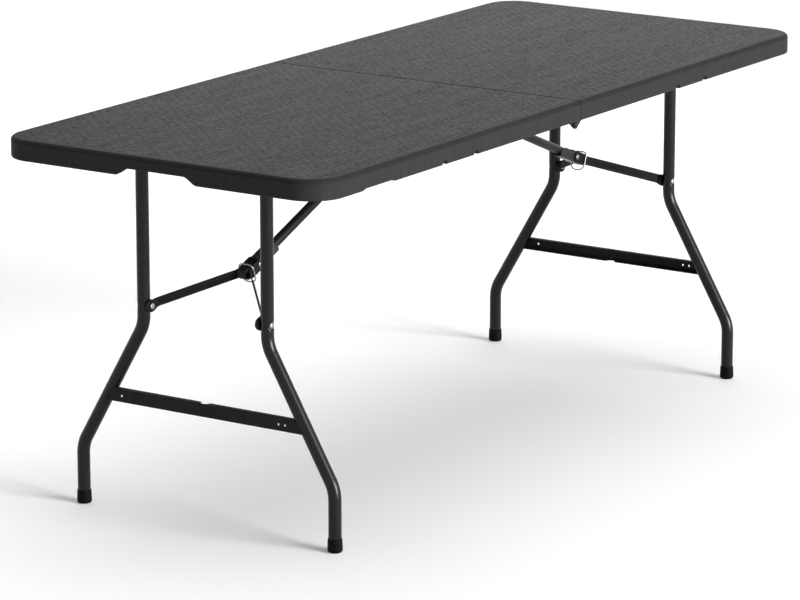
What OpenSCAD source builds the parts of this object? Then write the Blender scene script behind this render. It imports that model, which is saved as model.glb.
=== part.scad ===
// Folding table with a two-part blow-moulded top, two folding leg frames and two locking braces.
// Millimetres. The origin is on the floor under the middle of the top, +X along the length, +Z up.
// "left" is the -X half, "right" the +X half, "front" the -Y side, "back" the +Y side.

/* [Table top] */
// Length of the whole top, both halves together
top_l = 1800; // [1600:10:2000]
// Width of the top
top_w = 740; // [700:5:800]
// Height of the top face above the floor
top_h = 740; // [720:5:760]
// Depth of the skirt, from the top face to its lower edge
skirt_h = 40; // [39:1:44]
// Thickness of the panel inside the skirt
panel_t = 13; // [11:0.5:13]
// Wall of the skirt along the long sides
side_wall = 12; // [10:1:14]
// Wall of the skirt along the short ends
end_wall = 20; // [14:1:26]
// Wall of the skirt at the seam between the halves
seam_wall = 11; // [8:0.5:11]
// Gap between the two halves
seam_gap = 1.6; // [0.8:0.2:2.4]
// Radius of the four corners seen from above
corner_r = 70; // [50:5:90]
// Radius of the upper edge
edge_r = 8; // [5:1:10]
// Height of the hand-hold cut in each end skirt
grip_h = 14.5; // [10:0.5:18]
// Width of the hand-hold at its top
grip_top_w = 124; // [100:2:150]
// Width that each end of the hand-hold curves over
grip_curve_w = 42; // [30:2:50]
// Relief in the lower edge of the long skirts by the leg pivots
relief_h = 3; // [1:0.5:5]
// Length of that relief
relief_l = 110; // [90:5:130]
// Distance of the relief's outer end past the leg pivot
relief_past = 18; // [14:1:24]
// Diameter of the moulded dimples in the underside
dimple_d = 24; // [16:1:28]
// Depth of the dimples
dimple_h = 6; // [3:0.5:7]
// Pitch of the dimples
dimple_pitch = 76; // [70:2:100]

/* [Side rails and fold] */
// Thickness of the rail steel
rail_t = 2; // [1.5:0.25:2.5]
// Width of the rail's flange under the panel
rail_flange_w = 18; // [14:1:24]
// Distance from the seam to the near end of each rail
rail_start = 36; // [34:1:44]
// Distance from the end of the top to the far end of each rail
rail_end_gap = 100; // [90:5:115]
// Depth of the fold axis below the top face, under the seam
fold_drop = 50; // [48:1:54]
// Thickness of a hinge leaf
leaf_t = 2.5; // [2:0.25:3]
// Reach of a hinge leaf from the seam along its rail
leaf_l = 62; // [56:1:80]
// Radius of the hinge knuckle
knuckle_r = 8; // [7:0.5:9]
// Radius of the fold pin
fold_pin_r = 3; // [2.5:0.25:3.5]
// Radius of the rail screws
screw_r = 2.5; // [2:0.25:3]
// Number of screws along each rail
screw_n = 4; // [3:1:4]
// Distance of the first screw from the seam
screw_first = 110; // [90:5:130]

/* [Leg frames] */
// Distance of each leg frame from the end of the top
leg_inset = 152; // [148:1:158]
// Depth of the leg pivots below the top face
leg_pivot_drop = 30; // [29:0.5:31]
// Outside diameter of the leg tube
leg_d = 25; // [22:0.5:26]
// Wall of the leg tube
leg_wall = 1.2; // [1:0.1:2]
// Half spread of the legs at the top
leg_top_y = 143; // [130:1:155]
// Half spread of the legs at the floor
leg_foot_y = 293; // [280:1:305]
// Height of the upper bend in the legs
upper_bend_z = 377; // [360:1:390]
// Height of the lower bend in the legs
lower_bend_z = 119; // [105:1:130]
// Radius of the bends, on the tube's axis
bend_r = 70; // [50:5:90]
// Diameter of the cross tube that the legs turn with
axle_d = 22; // [19:0.5:24]
// Diameter of the journals at the ends of the cross tube
journal_d = 12; // [10:0.5:14]
// Wall of the cross tube
axle_wall = 1.2; // [1:0.1:2]
// Wall of the foot caps round the leg
foot_wall = 2; // [1.5:0.25:2.5]
// Height of the foot caps
foot_h = 27; // [20:1:35]
// Thickness of the rubber under the tube
foot_sole = 4; // [3:0.5:6]
// Height of the middle of the crossbar
crossbar_z = 231.5; // [210:0.5:250]
// Height of the crossbar's section
crossbar_h = 26; // [20:1:30]
// Depth of the crossbar's section
crossbar_d = 13; // [10:1:16]
// Thickness of the crossbar's steel
crossbar_t = 1.5; // [1:0.25:2]
// Diameter of the small holes in the crossbar
crossbar_hole_d = 4.5; // [3:0.5:6]

/* [Braces] */
// Height of the brace pivots on the legs
brace_z = 415; // [405:1:425]
// Distance of the anchor rods from the middle of the table
anchor_x = 22; // [21.5:0.5:24]
// Diameter of the anchor rods
anchor_d = 10; // [8:0.5:10]
// Outside diameter of the bush on the anchor rod
bush_d = 17; // [15:0.5:17]
// Length of that bush
bush_l = 44; // [30:2:60]
// Diameter of the link tube
link_d = 19; // [17:0.5:19]
// Wall of the link tube
link_wall = 1.2; // [1:0.1:2]
// Thickness of the channel's steel
channel_t = 1.5; // [1:0.1:1.5]
// Height of the channel below the link's axis
channel_low = 12.8; // [12:0.1:13]
// Height of the channel above the link's axis
channel_high = 9; // [8:0.5:10]
// Reach of the channel from the knee back along the link
channel_back = 66; // [60:1:80]
// Reach of the channel past the knee
channel_front = 17; // [14:1:19]
// Reach of the tongue past the knee
tongue_front = 60; // [52:1:64]
// Half height of the tongue
tongue_h = 12.8; // [12:0.1:12.8]
// Thickness of the fork arms
arm_t = 2; // [1.5:0.1:2]
// Height of the fork arms between their ends
arm_h = 19; // [16:1:20]
// Radius of the fork arms' round ends at the knee
arm_root_r = 11.5; // [11:0.1:11.5]
// Length of the parallel stretch of the fork arms past the knee
arm_root_l = 36; // [34:1:38]
// Radius of the fork arms' round ends at the legs
arm_tip_r = 11; // [10:0.5:12]
// Length of the flat stretch of the fork arms before the legs
arm_tip_l = 20; // [18:1:26]
// Thickness of the spacer between a fork arm and its leg
spacer_t = 6.2; // [5:0.2:8]
// Diameter of that spacer
spacer_d = 25; // [20:0.5:25]
// Radius of the brace rivets
rivet_r = 3; // [2.5:0.25:3.5]
// Radius of the knee rivet
knee_rivet_r = 4; // [3:0.25:4.5]
// Radius of the rivet heads
rivet_head_r = 6; // [5:0.25:7]

/* [Lock rings] */
// Diameter of the ring's wire
wire_d = 3.4; // [2.6:0.2:3.4]
// Distance of the ring from the knee, along the brace
ring_s = 28; // [26:0.5:30]
// Room in the ring below the brace's axis
ring_low = 21; // [20:0.5:23]
// Inner radius of the ring's upper corners
ring_top_r = 5; // [4.5:0.25:5.5]
// Inner radius of the ring's lower corners
ring_low_r = 6; // [5:0.25:7]

/* [Carrying handle] */
// Distance of the handle's middle from the seam
handle_x = 437; // [400:1:470]
// Distance between the middles of the handle's arms
handle_w = 110; // [100:1:120]
// Width of a handle arm
handle_arm_w = 13; // [10:1:15]
// Thickness of the handle
handle_t = 6.4; // [5:0.2:6.4]
// Reach of the handle from its pivot to the middle of its grip
handle_reach = 52; // [44:1:58]
// Width of the handle's grip
handle_grip_w = 16; // [12:1:20]
// Distance of the handle's pivot from the inside of the skirt
handle_inset = 14; // [12:1:18]
// Radius of the handle's pivots
handle_pin_r = 1.8; // [1.5:0.1:2]
// Thickness of the handle bracket's ears
ear_t = 5; // [4:0.5:7]

/* [Fits] */
// Clearance between parts that move past each other
gap = 0.3; // [0.3:0.05:0.4]
// Radial clearance of a running fit
run = 0.05; // [0.03:0.01:0.08]

/* [Hidden] */
$fn = 48;
eps = 0.01;
big = 4000;

plastic = "dimgray";
black = "#161616";
coat = "#2b2b2b";
steel = "silver";

half_l = top_l / 2;
half_w = top_w / 2;
leg_x = half_l - leg_inset;
leg_pivot_z = top_h - leg_pivot_drop;
fold_z = top_h - fold_drop;
rail_end = half_l - rail_end_gap;
skirt_z = top_h - skirt_h;
under_z = top_h - panel_t;
inner_y = half_w - side_wall;
inner_x = half_l - end_wall;
seam_in = seam_gap / 2 + seam_wall;
inner_corner_r = corner_r - end_wall;
dimple_first = seam_in + 45;
dimple_nx = floor((inner_x - dimple_first - dimple_d) / dimple_pitch);
dimple_ny = floor((inner_y - rail_flange_w - 30) / dimple_pitch);

web_y = inner_y - rail_t;
flange_z = under_z - rail_t;
rail_low = skirt_z + 1;
leaf_y = web_y - leaf_t;
leaf_top = flange_z - 3;
leaf_root = 20;
root_l = 6;
seam_clear = 8;
seam_cut = 12;
head_t = 1.6;
screw_depth = 8;
screw_head_r = 2 * screw_r;
screw_y = web_y - rail_flange_w / 2;
screw_margin = 30;
screw_pitch = (rail_end - screw_first - screw_margin) / (screw_n - 1);
leaf_rivet_x = [rail_start + 7, leaf_l - 6];
leaf_rivet_z = (rail_low + leaf_top) / 2;

leg_r = leg_d / 2;
slant = atan2(leg_foot_y - leg_top_y, upper_bend_z - lower_bend_z);
bend_run = bend_r * tan(slant / 2);
tube_in_r = leg_r - leg_wall;
bend_swell = 0.1;
bend_lap = 1;

fold_reach = leg_pivot_z - brace_z;
brace_open = norm([leg_x - anchor_x, fold_reach]);
brace_shut = leg_x - fold_reach - anchor_x;
link_l = (brace_open + brace_shut) / 2;
fork_l = (brace_open - brace_shut) / 2;
brace_tilt = atan2(fold_reach, leg_x - anchor_x);
tube_short = 20;
knee_x = anchor_x + link_l * cos(brace_tilt);
knee_z = leg_pivot_z - link_l * sin(brace_tilt);

cheek_y = link_d / 2;
arm_y = cheek_y + channel_t + gap;
arm_end_y = leg_top_y - leg_r - gap - spacer_t;
knee_head_t = 1.2;
ring_in_y = arm_y + arm_t + knee_head_t + gap + 0.1;
ring_in_top = tongue_h + gap;
wire_r = wire_d / 2;

handle_z = skirt_z + handle_t / 2;
handle_y = inner_y - handle_inset;
notch_top = skirt_z + handle_t + 0.6;
notch_w = handle_arm_w + 2;

// A round bar from p to q.
module bar(p, q, r) {
    d = q - p;
    translate(p)
        rotate([0, acos(d.z / norm(d)), atan2(d.y, d.x)])
            cylinder(h = norm(d), r = r);
}

// A bar along Y, centred on (x, z), from y0 to y1.
module bar_y(x, z, y0, y1, r) {
    translate([x, y0, z])
        rotate([-90, 0, 0])
            cylinder(h = y1 - y0, r = r);
}

// A bar along X, centred on (y, z), from x0 to x1.
module bar_x(y, z, x0, x1, r) {
    translate([x0, y, z])
        rotate([0, 90, 0])
            cylinder(h = x1 - x0, r = r);
}

// A block between two corners.
module block(low, high) {
    translate(low)
        cube(high - low);
}

// Every part is drawn for the right half. The left half is its mirror image.
module on_side(side) {
    if (side < 0) mirror([1, 0, 0]) children();
    else children();
}

// Parts of the back are drawn at +Y. The front is their mirror image.
module on_edge(edge) {
    if (edge < 0) mirror([0, 1, 0]) children();
    else children();
}

// A rectangle with round corners, centred on the origin.
module round_plate(l, w, r) {
    square([l - 2 * r, w], center = true);
    square([l, w - 2 * r], center = true);
    for (sx = [-1, 1], sy = [-1, 1])
        translate([sx * (l / 2 - r), sy * (w / 2 - r)])
            circle(r);
}

// The whole top as one block, with a quarter-round upper edge.
module top_block() {
    shoulder_z = top_h - edge_r;
    translate([0, 0, skirt_z])
        linear_extrude(skirt_h - edge_r)
            round_plate(top_l, top_w, corner_r);
    translate([0, 0, shoulder_z - eps])
        linear_extrude(edge_r + eps)
            round_plate(top_l - 2 * edge_r, top_w - 2 * edge_r, corner_r - edge_r);
    for (sy = [-1, 1])
        bar_x(sy * (half_w - edge_r), shoulder_z, corner_r - half_l, half_l - corner_r, edge_r);
    for (sx = [-1, 1])
        bar_y(sx * (half_l - edge_r), shoulder_z, corner_r - half_w, half_w - corner_r, edge_r);
    for (sx = [-1, 1], sy = [-1, 1])
        translate([sx * (half_l - corner_r), sy * (half_w - corner_r), shoulder_z])
            rotate([0, 0, sx > 0 ? (sy > 0 ? 0 : 270) : (sy > 0 ? 90 : 180)])
                rotate_extrude(angle = 90)
                    translate([corner_r - edge_r, 0])
                        circle(edge_r);
}

// Height of the hand-hold's curved end at a fraction f of its width.
function grip_rise(f) = grip_h * (1 - cos(180 * f)) / 2;

// Outline of the hand-hold in an end skirt, open at the bottom.
module grip_outline() {
    steps = 12;
    rise = [for (i = [0:steps]) [
        -grip_top_w / 2 - grip_curve_w * (1 - i / steps),
        grip_rise(i / steps)
    ]];
    fall = [for (i = [steps:-1:0]) [-rise[i].x, rise[i].y]];
    polygon(concat([[rise[0].x, -1]], rise, fall, [[-rise[0].x, -1]]));
}

// Room under the panel of the right half, inside its skirt.
module recess() {
    block([seam_in, -inner_y, skirt_z - 1], [inner_x - inner_corner_r, inner_y, under_z]);
    block([seam_in, inner_corner_r - inner_y, skirt_z - 1],
          [inner_x, inner_y - inner_corner_r, under_z]);
    for (sy = [-1, 1])
        translate([inner_x - inner_corner_r, sy * (inner_y - inner_corner_r), skirt_z - 1])
            cylinder(h = under_z - skirt_z + 1, r = inner_corner_r, $fn = 64);
}

// Positions of the dimples, clear of the rails.
module dimples() {
    for (i = [0:dimple_nx], j = [-dimple_ny:dimple_ny])
        translate([dimple_first + i * dimple_pitch, j * dimple_pitch, under_z - eps])
            cylinder(h = dimple_h, r1 = dimple_d / 2, r2 = dimple_d / 3);
}

// Screw positions along a rail of the right half.
module screw_places() {
    for (i = [0:screw_n - 1], sy = [-1, 1])
        translate([screw_first + i * screw_pitch, sy * screw_y, 0])
            children();
}

// One half of the blow-moulded top.
module top_half(side) {
    color(plastic)
        on_side(side)
            difference() {
                top_block();
                block([-big, -big, 0], [seam_gap / 2, big, big]);
                recess();
                dimples();
                translate([half_l - end_wall - 1, 0, skirt_z])
                    rotate([90, 0, 90])
                        linear_extrude(end_wall + 2)
                            grip_outline();
                for (sy = [-1, 1]) {
                    block([leg_x + relief_past - relief_l, sy * half_w - side_wall - 1, skirt_z - 1],
                          [leg_x + relief_past, sy * half_w + side_wall + 1, skirt_z + relief_h]);
                    block([0, sy > 0 ? inner_y - seam_cut : -inner_y, skirt_z - 1],
                          [seam_in + 1, sy > 0 ? inner_y : seam_cut - inner_y, under_z]);
                }
                for (sx = [-1, 1])
                    block([handle_x + (sx * handle_w - notch_w) / 2, -half_w - 1, skirt_z - 1],
                          [handle_x + (sx * handle_w + notch_w) / 2, -inner_y + 1, notch_top]);
                screw_places()
                    translate([0, 0, under_z - eps])
                        cylinder(h = screw_depth + eps, r = screw_r);
            }
}

// A steel angle inside a long skirt, which carries the leg frame and the anchor rod.
module rail(side, edge) {
    color(coat)
        on_side(side)
            on_edge(edge)
                difference() {
                    union() {
                        block([rail_start, web_y, rail_low], [rail_end, inner_y, under_z]);
                        block([rail_start, inner_y - rail_flange_w, flange_z],
                              [rail_end, inner_y, under_z]);
                    }
                    bar_y(leg_x, leg_pivot_z, web_y - 1, inner_y + 1, journal_d / 2 + run);
                    for (x = leaf_rivet_x)
                        bar_y(x, leaf_rivet_z, web_y - 1, inner_y + 1, screw_r);
                    if (edge < 0)
                        for (sx = [-1, 1])
                            block([handle_x + (sx * handle_w - notch_w) / 2, web_y - 1, 0],
                                  [handle_x + (sx * handle_w + notch_w) / 2, inner_y + 1, notch_top]);
                    for (i = [0:screw_n - 1])
                        translate([screw_first + i * screw_pitch, screw_y, flange_z - 1])
                            cylinder(h = rail_t + 2, r = screw_r);
                }
}

// The knuckle's disc and the web that joins it to the rest of its leaf, in the XZ plane.
module knuckle_outline() {
    circle(knuckle_r);
    polygon([
        knuckle_r * [0.4, -0.7],
        [leaf_root + root_l, rail_low - fold_z - 1],
        [leaf_root + root_l, leaf_top - fold_z],
        [seam_clear, leaf_top - fold_z],
        [seam_clear, rail_low - fold_z + 1],
        knuckle_r * [-0.4, 0.3]
    ]);
}

// Extrudes an outline of the XZ plane, drawn about the fold axis, from y0 to y1.
module at_fold(y0, y1) {
    translate([0, y1, fold_z])
        rotate([90, 0, 0])
            linear_extrude(y1 - y0)
                children();
}

// A hinge leaf. The left leaf's knuckle runs inside the right leaf's knuckle.
module leaf(side, edge) {
    color(coat)
        on_side(side)
            on_edge(edge)
                difference() {
                    union() {
                        if (side < 0) {
                            at_fold(leaf_y, web_y) knuckle_outline();
                        } else {
                            at_fold(web_y + gap, inner_y) knuckle_outline();
                            block([leaf_root, leaf_y, rail_low], [leaf_root + root_l, inner_y, leaf_top]);
                        }
                        block([leaf_root, leaf_y, rail_low], [leaf_l, web_y, leaf_top]);
                    }
                    bar_y(0, fold_z, leaf_y - 1, inner_y + 1, side < 0 ? fold_pin_r : fold_pin_r + run);
                    bar_y(anchor_x, leg_pivot_z, leaf_y - 1, inner_y + 1, anchor_d / 2);
                    for (x = leaf_rivet_x)
                        bar_y(x, leaf_rivet_z, leaf_y - 1, inner_y + 1, screw_r);
                }
}

// Rivets that hold the hinge leaves on the rails.
module leaf_rivets(side) {
    color(steel)
        on_side(side)
            for (edge = [-1, 1], x = leaf_rivet_x)
                on_edge(edge) {
                    bar_y(x, leaf_rivet_z, leaf_y, inner_y, screw_r);
                    bar_y(x, leaf_rivet_z, leaf_y - head_t, leaf_y, screw_head_r);
                }
}

// The two pins that the halves fold about.
module fold_pins() {
    color(steel)
        for (edge = [-1, 1])
            on_edge(edge) {
                bar_y(0, fold_z, leaf_y - head_t, inner_y + gap, fold_pin_r);
                bar_y(0, fold_z, leaf_y - head_t, leaf_y, fold_pin_r + 2);
                bar_y(0, fold_z, inner_y + gap, inner_y + gap + head_t, fold_pin_r + 2);
            }
}

// Screws that hold the rails up into the panel.
module rail_screws(side) {
    color(steel)
        on_side(side)
            screw_places() {
                translate([0, 0, flange_z])
                    cylinder(h = rail_t + screw_depth, r = screw_r);
                translate([0, 0, flange_z - head_t])
                    cylinder(h = head_t, r1 = screw_head_r * 0.7, r2 = screw_head_r);
            }
}

// The rod across the half, near the seam, that the brace link turns on.
module anchor_rod(side) {
    color(coat)
        on_side(side)
            bar_y(anchor_x, leg_pivot_z, gap - inner_y, inner_y - gap, anchor_d / 2);
}

// The bracket under the left half's front rail that holds the carrying handle.
module handle_bracket() {
    plate_t = 3;
    plate_w = 2 * (handle_inset - 1);
    ear_x = handle_w / 2 - handle_arm_w / 2 - gap;
    color(black)
        translate([-handle_x, -handle_y, 0]) {
            block([-ear_x, -handle_t, flange_z - plate_t], [ear_x, plate_w - handle_t, flange_z]);
            for (sx = [-1, 1]) {
                inside = sx > 0 ? ear_x - ear_t : -ear_x;
                block([inside, -handle_t / 2, handle_z],
                      [inside + ear_t, handle_t / 2, flange_z - plate_t + eps]);
                bar_x(0, handle_z, inside, inside + ear_t, handle_t / 2);
                bar_x(0, handle_z, sx > 0 ? ear_x - eps : -ear_x - handle_arm_w / 2,
                      sx > 0 ? ear_x + handle_arm_w / 2 : eps - ear_x, handle_pin_r);
            }
        }
}

// The carrying handle, tucked up under the left half.
module carry_handle() {
    arm_x = handle_w / 2;
    end_x = arm_x + handle_arm_w / 2;
    grip_r = handle_grip_w / 2;
    color(black)
        translate([-handle_x, -handle_y, handle_z])
            difference() {
                union() {
                    for (sx = [-1, 1]) {
                        bar_x(0, 0, sx * arm_x - handle_arm_w / 2, sx * arm_x + handle_arm_w / 2, handle_t / 2);
                        block([sx * arm_x - handle_arm_w / 2, 0, -handle_t / 2],
                              [sx * arm_x + handle_arm_w / 2, handle_reach, handle_t / 2]);
                        translate([sx * (end_x - grip_r), handle_reach, 0])
                            cylinder(h = handle_t, r = grip_r, center = true);
                    }
                    block([grip_r - end_x, handle_reach - grip_r, -handle_t / 2],
                          [end_x - grip_r, handle_reach + grip_r, handle_t / 2]);
                }
                bar_x(0, 0, -end_x - 1, end_x + 1, handle_pin_r + run);
            }
}

// A leg's tube as a solid of radius r, from z = low to z = high. The tube swells a little in
// its bends, and the straight lengths reach a short way into them.
module leg_solid(r, low, high) {
    lower_c = [leg_foot_y - bend_r, lower_bend_z - bend_run];
    upper_c = [leg_top_y + bend_r, upper_bend_z + bend_run];
    along = [0, -sin(slant), cos(slant)];
    p = [leg_x, lower_c.x + bend_r * cos(slant), lower_c.y + bend_r * sin(slant)];
    q = [leg_x, upper_c.x - bend_r * cos(slant), upper_c.y - bend_r * sin(slant)];
    translate([leg_x, leg_foot_y, low])
        cylinder(h = lower_c.y + bend_lap - low, r = r);
    bar(p - bend_lap * along, q + bend_lap * along, r);
    translate([leg_x, leg_top_y, upper_c.y - bend_lap])
        cylinder(h = high - upper_c.y + bend_lap, r = r);
    leg_bend(lower_c, 0, r);
    leg_bend(upper_c, 180, r);
}

// One bend of a leg about c, from the given angle on.
module leg_bend(c, start, r) {
    translate([leg_x, c.x, c.y])
        rotate([90, 0, 90])
            rotate([0, 0, start])
                rotate_extrude(angle = slant)
                    translate([bend_r, 0])
                        circle(r + bend_swell);
}

// A leg: one bent steel tube, coped on to the cross tube.
module leg(side, edge) {
    color(coat)
        on_side(side)
            on_edge(edge)
                difference() {
                    leg_solid(leg_r, foot_sole, leg_pivot_z);
                    leg_solid(tube_in_r, foot_sole - 1, leg_pivot_z + 1);
                    bar_y(leg_x, leg_pivot_z, 0, inner_y, axle_d / 2);
                    bar_y(leg_x, brace_z, 0, inner_y, rivet_r);
                }
}

// The cross tube, with a hollow journal at each end that runs in a rail.
module axle(side) {
    plug_l = 14;
    tube_end = web_y - gap;
    color(coat)
        on_side(side)
            difference() {
                union() {
                    bar_y(leg_x, leg_pivot_z, -tube_end, tube_end, axle_d / 2);
                    bar_y(leg_x, leg_pivot_z, gap - inner_y, inner_y - gap, journal_d / 2);
                }
                bar_y(leg_x, leg_pivot_z, plug_l - tube_end, tube_end - plug_l, axle_d / 2 - axle_wall);
                bar_y(leg_x, leg_pivot_z, -half_w, half_w, journal_d / 2 - 2 * axle_wall);
            }
}

// A moulded cap on a leg's lower end.
module foot(side, edge) {
    foot_r = leg_r + foot_wall;
    round_r = 3;
    draft = 0.6;
    color(black)
        on_side(side)
            on_edge(edge)
                translate([leg_x, leg_foot_y, 0])
                    difference() {
                        rotate_extrude()
                            polygon(concat(
                                [[0, 0]],
                                [for (a = [-90:15:0]) [
                                    foot_r - round_r + round_r * cos(a),
                                    round_r + round_r * sin(a)
                                ]],
                                [[foot_r - draft, foot_h - 1], [foot_r - 2 * draft, foot_h], [0, foot_h]]
                            ));
                        translate([0, 0, foot_sole])
                            cylinder(h = foot_h, r = leg_r);
                    }
}

// The crossbar: a pressed channel between the legs, notched where the link lies when folded.
module crossbar(side) {
    web_out = leg_r;
    web_in = leg_r - crossbar_t;
    reach = leg_foot_y;
    low = crossbar_z - crossbar_h / 2;
    high = crossbar_z + crossbar_h / 2;
    notch_y = cheek_y + 3.5;
    hole_from_end = 38;
    hole_pitch = 15;
    end_y = leg_top_y + (upper_bend_z - crossbar_z) * tan(slant);
    hole_y = [end_y - hole_from_end, hole_from_end + hole_pitch - end_y, hole_from_end - end_y];
    color(coat)
        on_side(side)
            difference() {
                block([leg_x + web_out - crossbar_d, -reach, low], [leg_x + web_out, reach, high]);
                block([leg_x + web_out - crossbar_d - 1, -reach, low + crossbar_t],
                      [leg_x + web_in, reach, high - crossbar_t]);
                block([leg_x - leg_r - 1, -notch_y, low - 1], [leg_x + web_in, notch_y, high + 1]);
                for (edge = [-1, 1])
                    on_edge(edge) {
                        leg_solid(leg_r, foot_sole, leg_pivot_z);
                        block_outside(low, high);
                    }
                for (y = hole_y)
                    bar_x(y, crossbar_z, leg_x + web_in - 1, leg_x + web_out + 1, crossbar_hole_d / 2);
            }
}

// What lies outside a leg's axis between two heights.
module block_outside(low, high) {
    y_at_low = leg_top_y + (upper_bend_z - low + 1) * tan(slant);
    y_at_high = leg_top_y + (upper_bend_z - high - 1) * tan(slant);
    translate([leg_x - leg_d, 0, 0])
        rotate([90, 0, 90])
            linear_extrude(2 * leg_d)
                polygon([[y_at_low, low - 1], [big, low - 1], [big, high + 1], [y_at_high, high + 1]]);
}

// The outer ends of the brace rivets, through the legs.
module leg_rivets(side) {
    color(steel)
        on_side(side)
            for (edge = [-1, 1])
                on_edge(edge) {
                    bar_y(leg_x, brace_z, leg_top_y - leg_r + gap, leg_top_y + leg_r, rivet_r);
                    bar_y(leg_x, brace_z, leg_top_y + leg_r, leg_top_y + leg_r + head_t, rivet_head_r);
                }
}

// Moves a shape drawn along +X, with the knee at the origin, on to the brace's line.
module at_knee() {
    translate([knee_x, 0, knee_z])
        rotate([0, brace_tilt, 0])
            children();
}

// The link: a straight tube from the anchor rod to the knee.
module link_tube(side) {
    color(coat)
        on_side(side)
            at_knee()
                difference() {
                    bar_x(0, 0, -link_l, -tube_short, cheek_y);
                    bar_x(0, 0, -link_l, 1 - tube_short, cheek_y - link_wall);
                    bar_y(-link_l, 0, -bush_l, bush_l, bush_d / 2);
                }
}

// The bush on the anchor rod, at the link's upper end.
module link_bush(side) {
    color(coat)
        on_side(side)
            at_knee()
                difference() {
                    bar_y(-link_l, 0, -bush_l / 2, bush_l / 2, bush_d / 2);
                    bar_y(-link_l, 0, -bush_l, bush_l, anchor_d / 2 + run);
                }
}

// The channel round the link's lower end, between the roots of the fork.
module link_channel(side) {
    out_y = cheek_y + channel_t;
    color(coat)
        on_side(side)
            at_knee()
                difference() {
                    block([-channel_back, -out_y, -channel_low], [channel_front, out_y, channel_high]);
                    block([-channel_back - 1, -cheek_y, channel_t - channel_low],
                          [channel_front + 1, cheek_y, channel_high + 1]);
                    bar_y(0, 0, -big, big, knee_rivet_r + run);
                }
}

// The moulded tongue that carries the knee rivet and the lock ring.
module link_tongue(side) {
    low = channel_t - channel_low;
    nose_r = tongue_h * 0.7;
    lug_l = 12;
    lug_y = cheek_y * 0.6;
    color(black)
        on_side(side)
            at_knee()
                difference() {
                    union() {
                        block([-tube_short, -cheek_y, low], [tongue_front - nose_r, cheek_y, channel_high]);
                        block([channel_front + gap, -cheek_y, low],
                              [tongue_front - nose_r, cheek_y, tongue_h]);
                        block([1 - lug_l, -lug_y, 0], [1, lug_y, tongue_h]);
                        bar_y(tongue_front - nose_r, 0, -cheek_y, cheek_y, nose_r);
                    }
                    bar_y(0, 0, -big, big, knee_rivet_r + run);
                }
}

// A fork arm's outline from above, for the back arm.
module arm_plan() {
    a = atan2(arm_end_y - arm_t - arm_y, fork_l - arm_tip_l - arm_root_l);
    back = arm_t * tan(a / 2);
    far = fork_l + 2 * arm_tip_r;
    polygon([
        [-2 * arm_root_r, arm_y], [arm_root_l, arm_y],
        [fork_l - arm_tip_l, arm_end_y - arm_t], [far, arm_end_y - arm_t],
        [far, arm_end_y], [fork_l - arm_tip_l - back, arm_end_y],
        [arm_root_l - back, arm_y + arm_t], [-2 * arm_root_r, arm_y + arm_t]
    ]);
}

// A fork arm as seen from the side, as a solid as thick as the fork is wide.
module arm_side() {
    taper = 6;
    bar_y(0, 0, 0, leg_top_y, arm_root_r);
    bar_y(fork_l, 0, 0, leg_top_y, arm_tip_r);
    translate([0, leg_top_y, 0])
        rotate([90, 0, 0])
            linear_extrude(leg_top_y)
                polygon([
                    [0, arm_root_r], [arm_root_l - taper, arm_root_r], [arm_root_l + taper, arm_h / 2],
                    [fork_l, arm_h / 2], [fork_l, -arm_h / 2],
                    [arm_root_l + taper, -arm_h / 2], [arm_root_l - taper, -arm_root_r], [0, -arm_root_r]
                ]);
}

// A fork arm: a pressed steel strip from the knee to a leg, with a rib along its middle.
module arm(side, edge) {
    rib_r = 2.2;
    rib_from = 0.15;
    inner = [arm_root_l, arm_y + arm_t, 0];
    outer = [fork_l - arm_tip_l, arm_end_y, 0];
    color(coat)
        on_side(side)
            at_knee()
                on_edge(edge)
                    difference() {
                        union() {
                            intersection() {
                                translate([0, 0, -2 * arm_tip_r])
                                    linear_extrude(4 * arm_tip_r)
                                        arm_plan();
                                union() arm_side();
                            }
                            bar(inner + rib_from * (outer - inner), outer - rib_from * (outer - inner), rib_r);
                        }
                        bar_y(0, 0, 0, leg_top_y, knee_rivet_r);
                        bar_y(fork_l, 0, 0, leg_top_y, rivet_r);
                    }
}

// Spacers between the fork arms and the legs.
module spacers(side) {
    color(black)
        on_side(side)
            at_knee()
                for (edge = [-1, 1])
                    on_edge(edge)
                        difference() {
                            bar_y(fork_l, 0, arm_end_y, arm_end_y + spacer_t, spacer_d / 2);
                            bar_y(fork_l, 0, 0, leg_top_y, rivet_r);
                        }
}

// The inner ends of the brace rivets, through the fork arms and spacers.
module arm_rivets(side) {
    color(steel)
        on_side(side)
            at_knee()
                for (edge = [-1, 1])
                    on_edge(edge) {
                        bar_y(fork_l, 0, arm_end_y - arm_t, arm_end_y + spacer_t, rivet_r);
                        bar_y(fork_l, 0, arm_end_y - arm_t - head_t, arm_end_y - arm_t, rivet_head_r);
                    }
}

// The rivet that the knee turns on.
module knee_rivet(side) {
    out_y = arm_y + arm_t;
    color(steel)
        on_side(side)
            at_knee() {
                bar_y(0, 0, -out_y, out_y, knee_rivet_r);
                for (edge = [-1, 1])
                    on_edge(edge)
                        bar_y(0, 0, out_y, out_y + knee_head_t, knee_rivet_r + knee_head_t);
            }
}

// A quarter of wire round a corner of the ring. The ring lies in a plane square to the link.
module ring_corner(y, z, r, start) {
    translate([ring_s, y, z])
        rotate([90, 0, 90])
            rotate([0, 0, start])
                rotate_extrude(angle = 90)
                    translate([r + wire_r, 0])
                        circle(wire_r);
}

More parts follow.
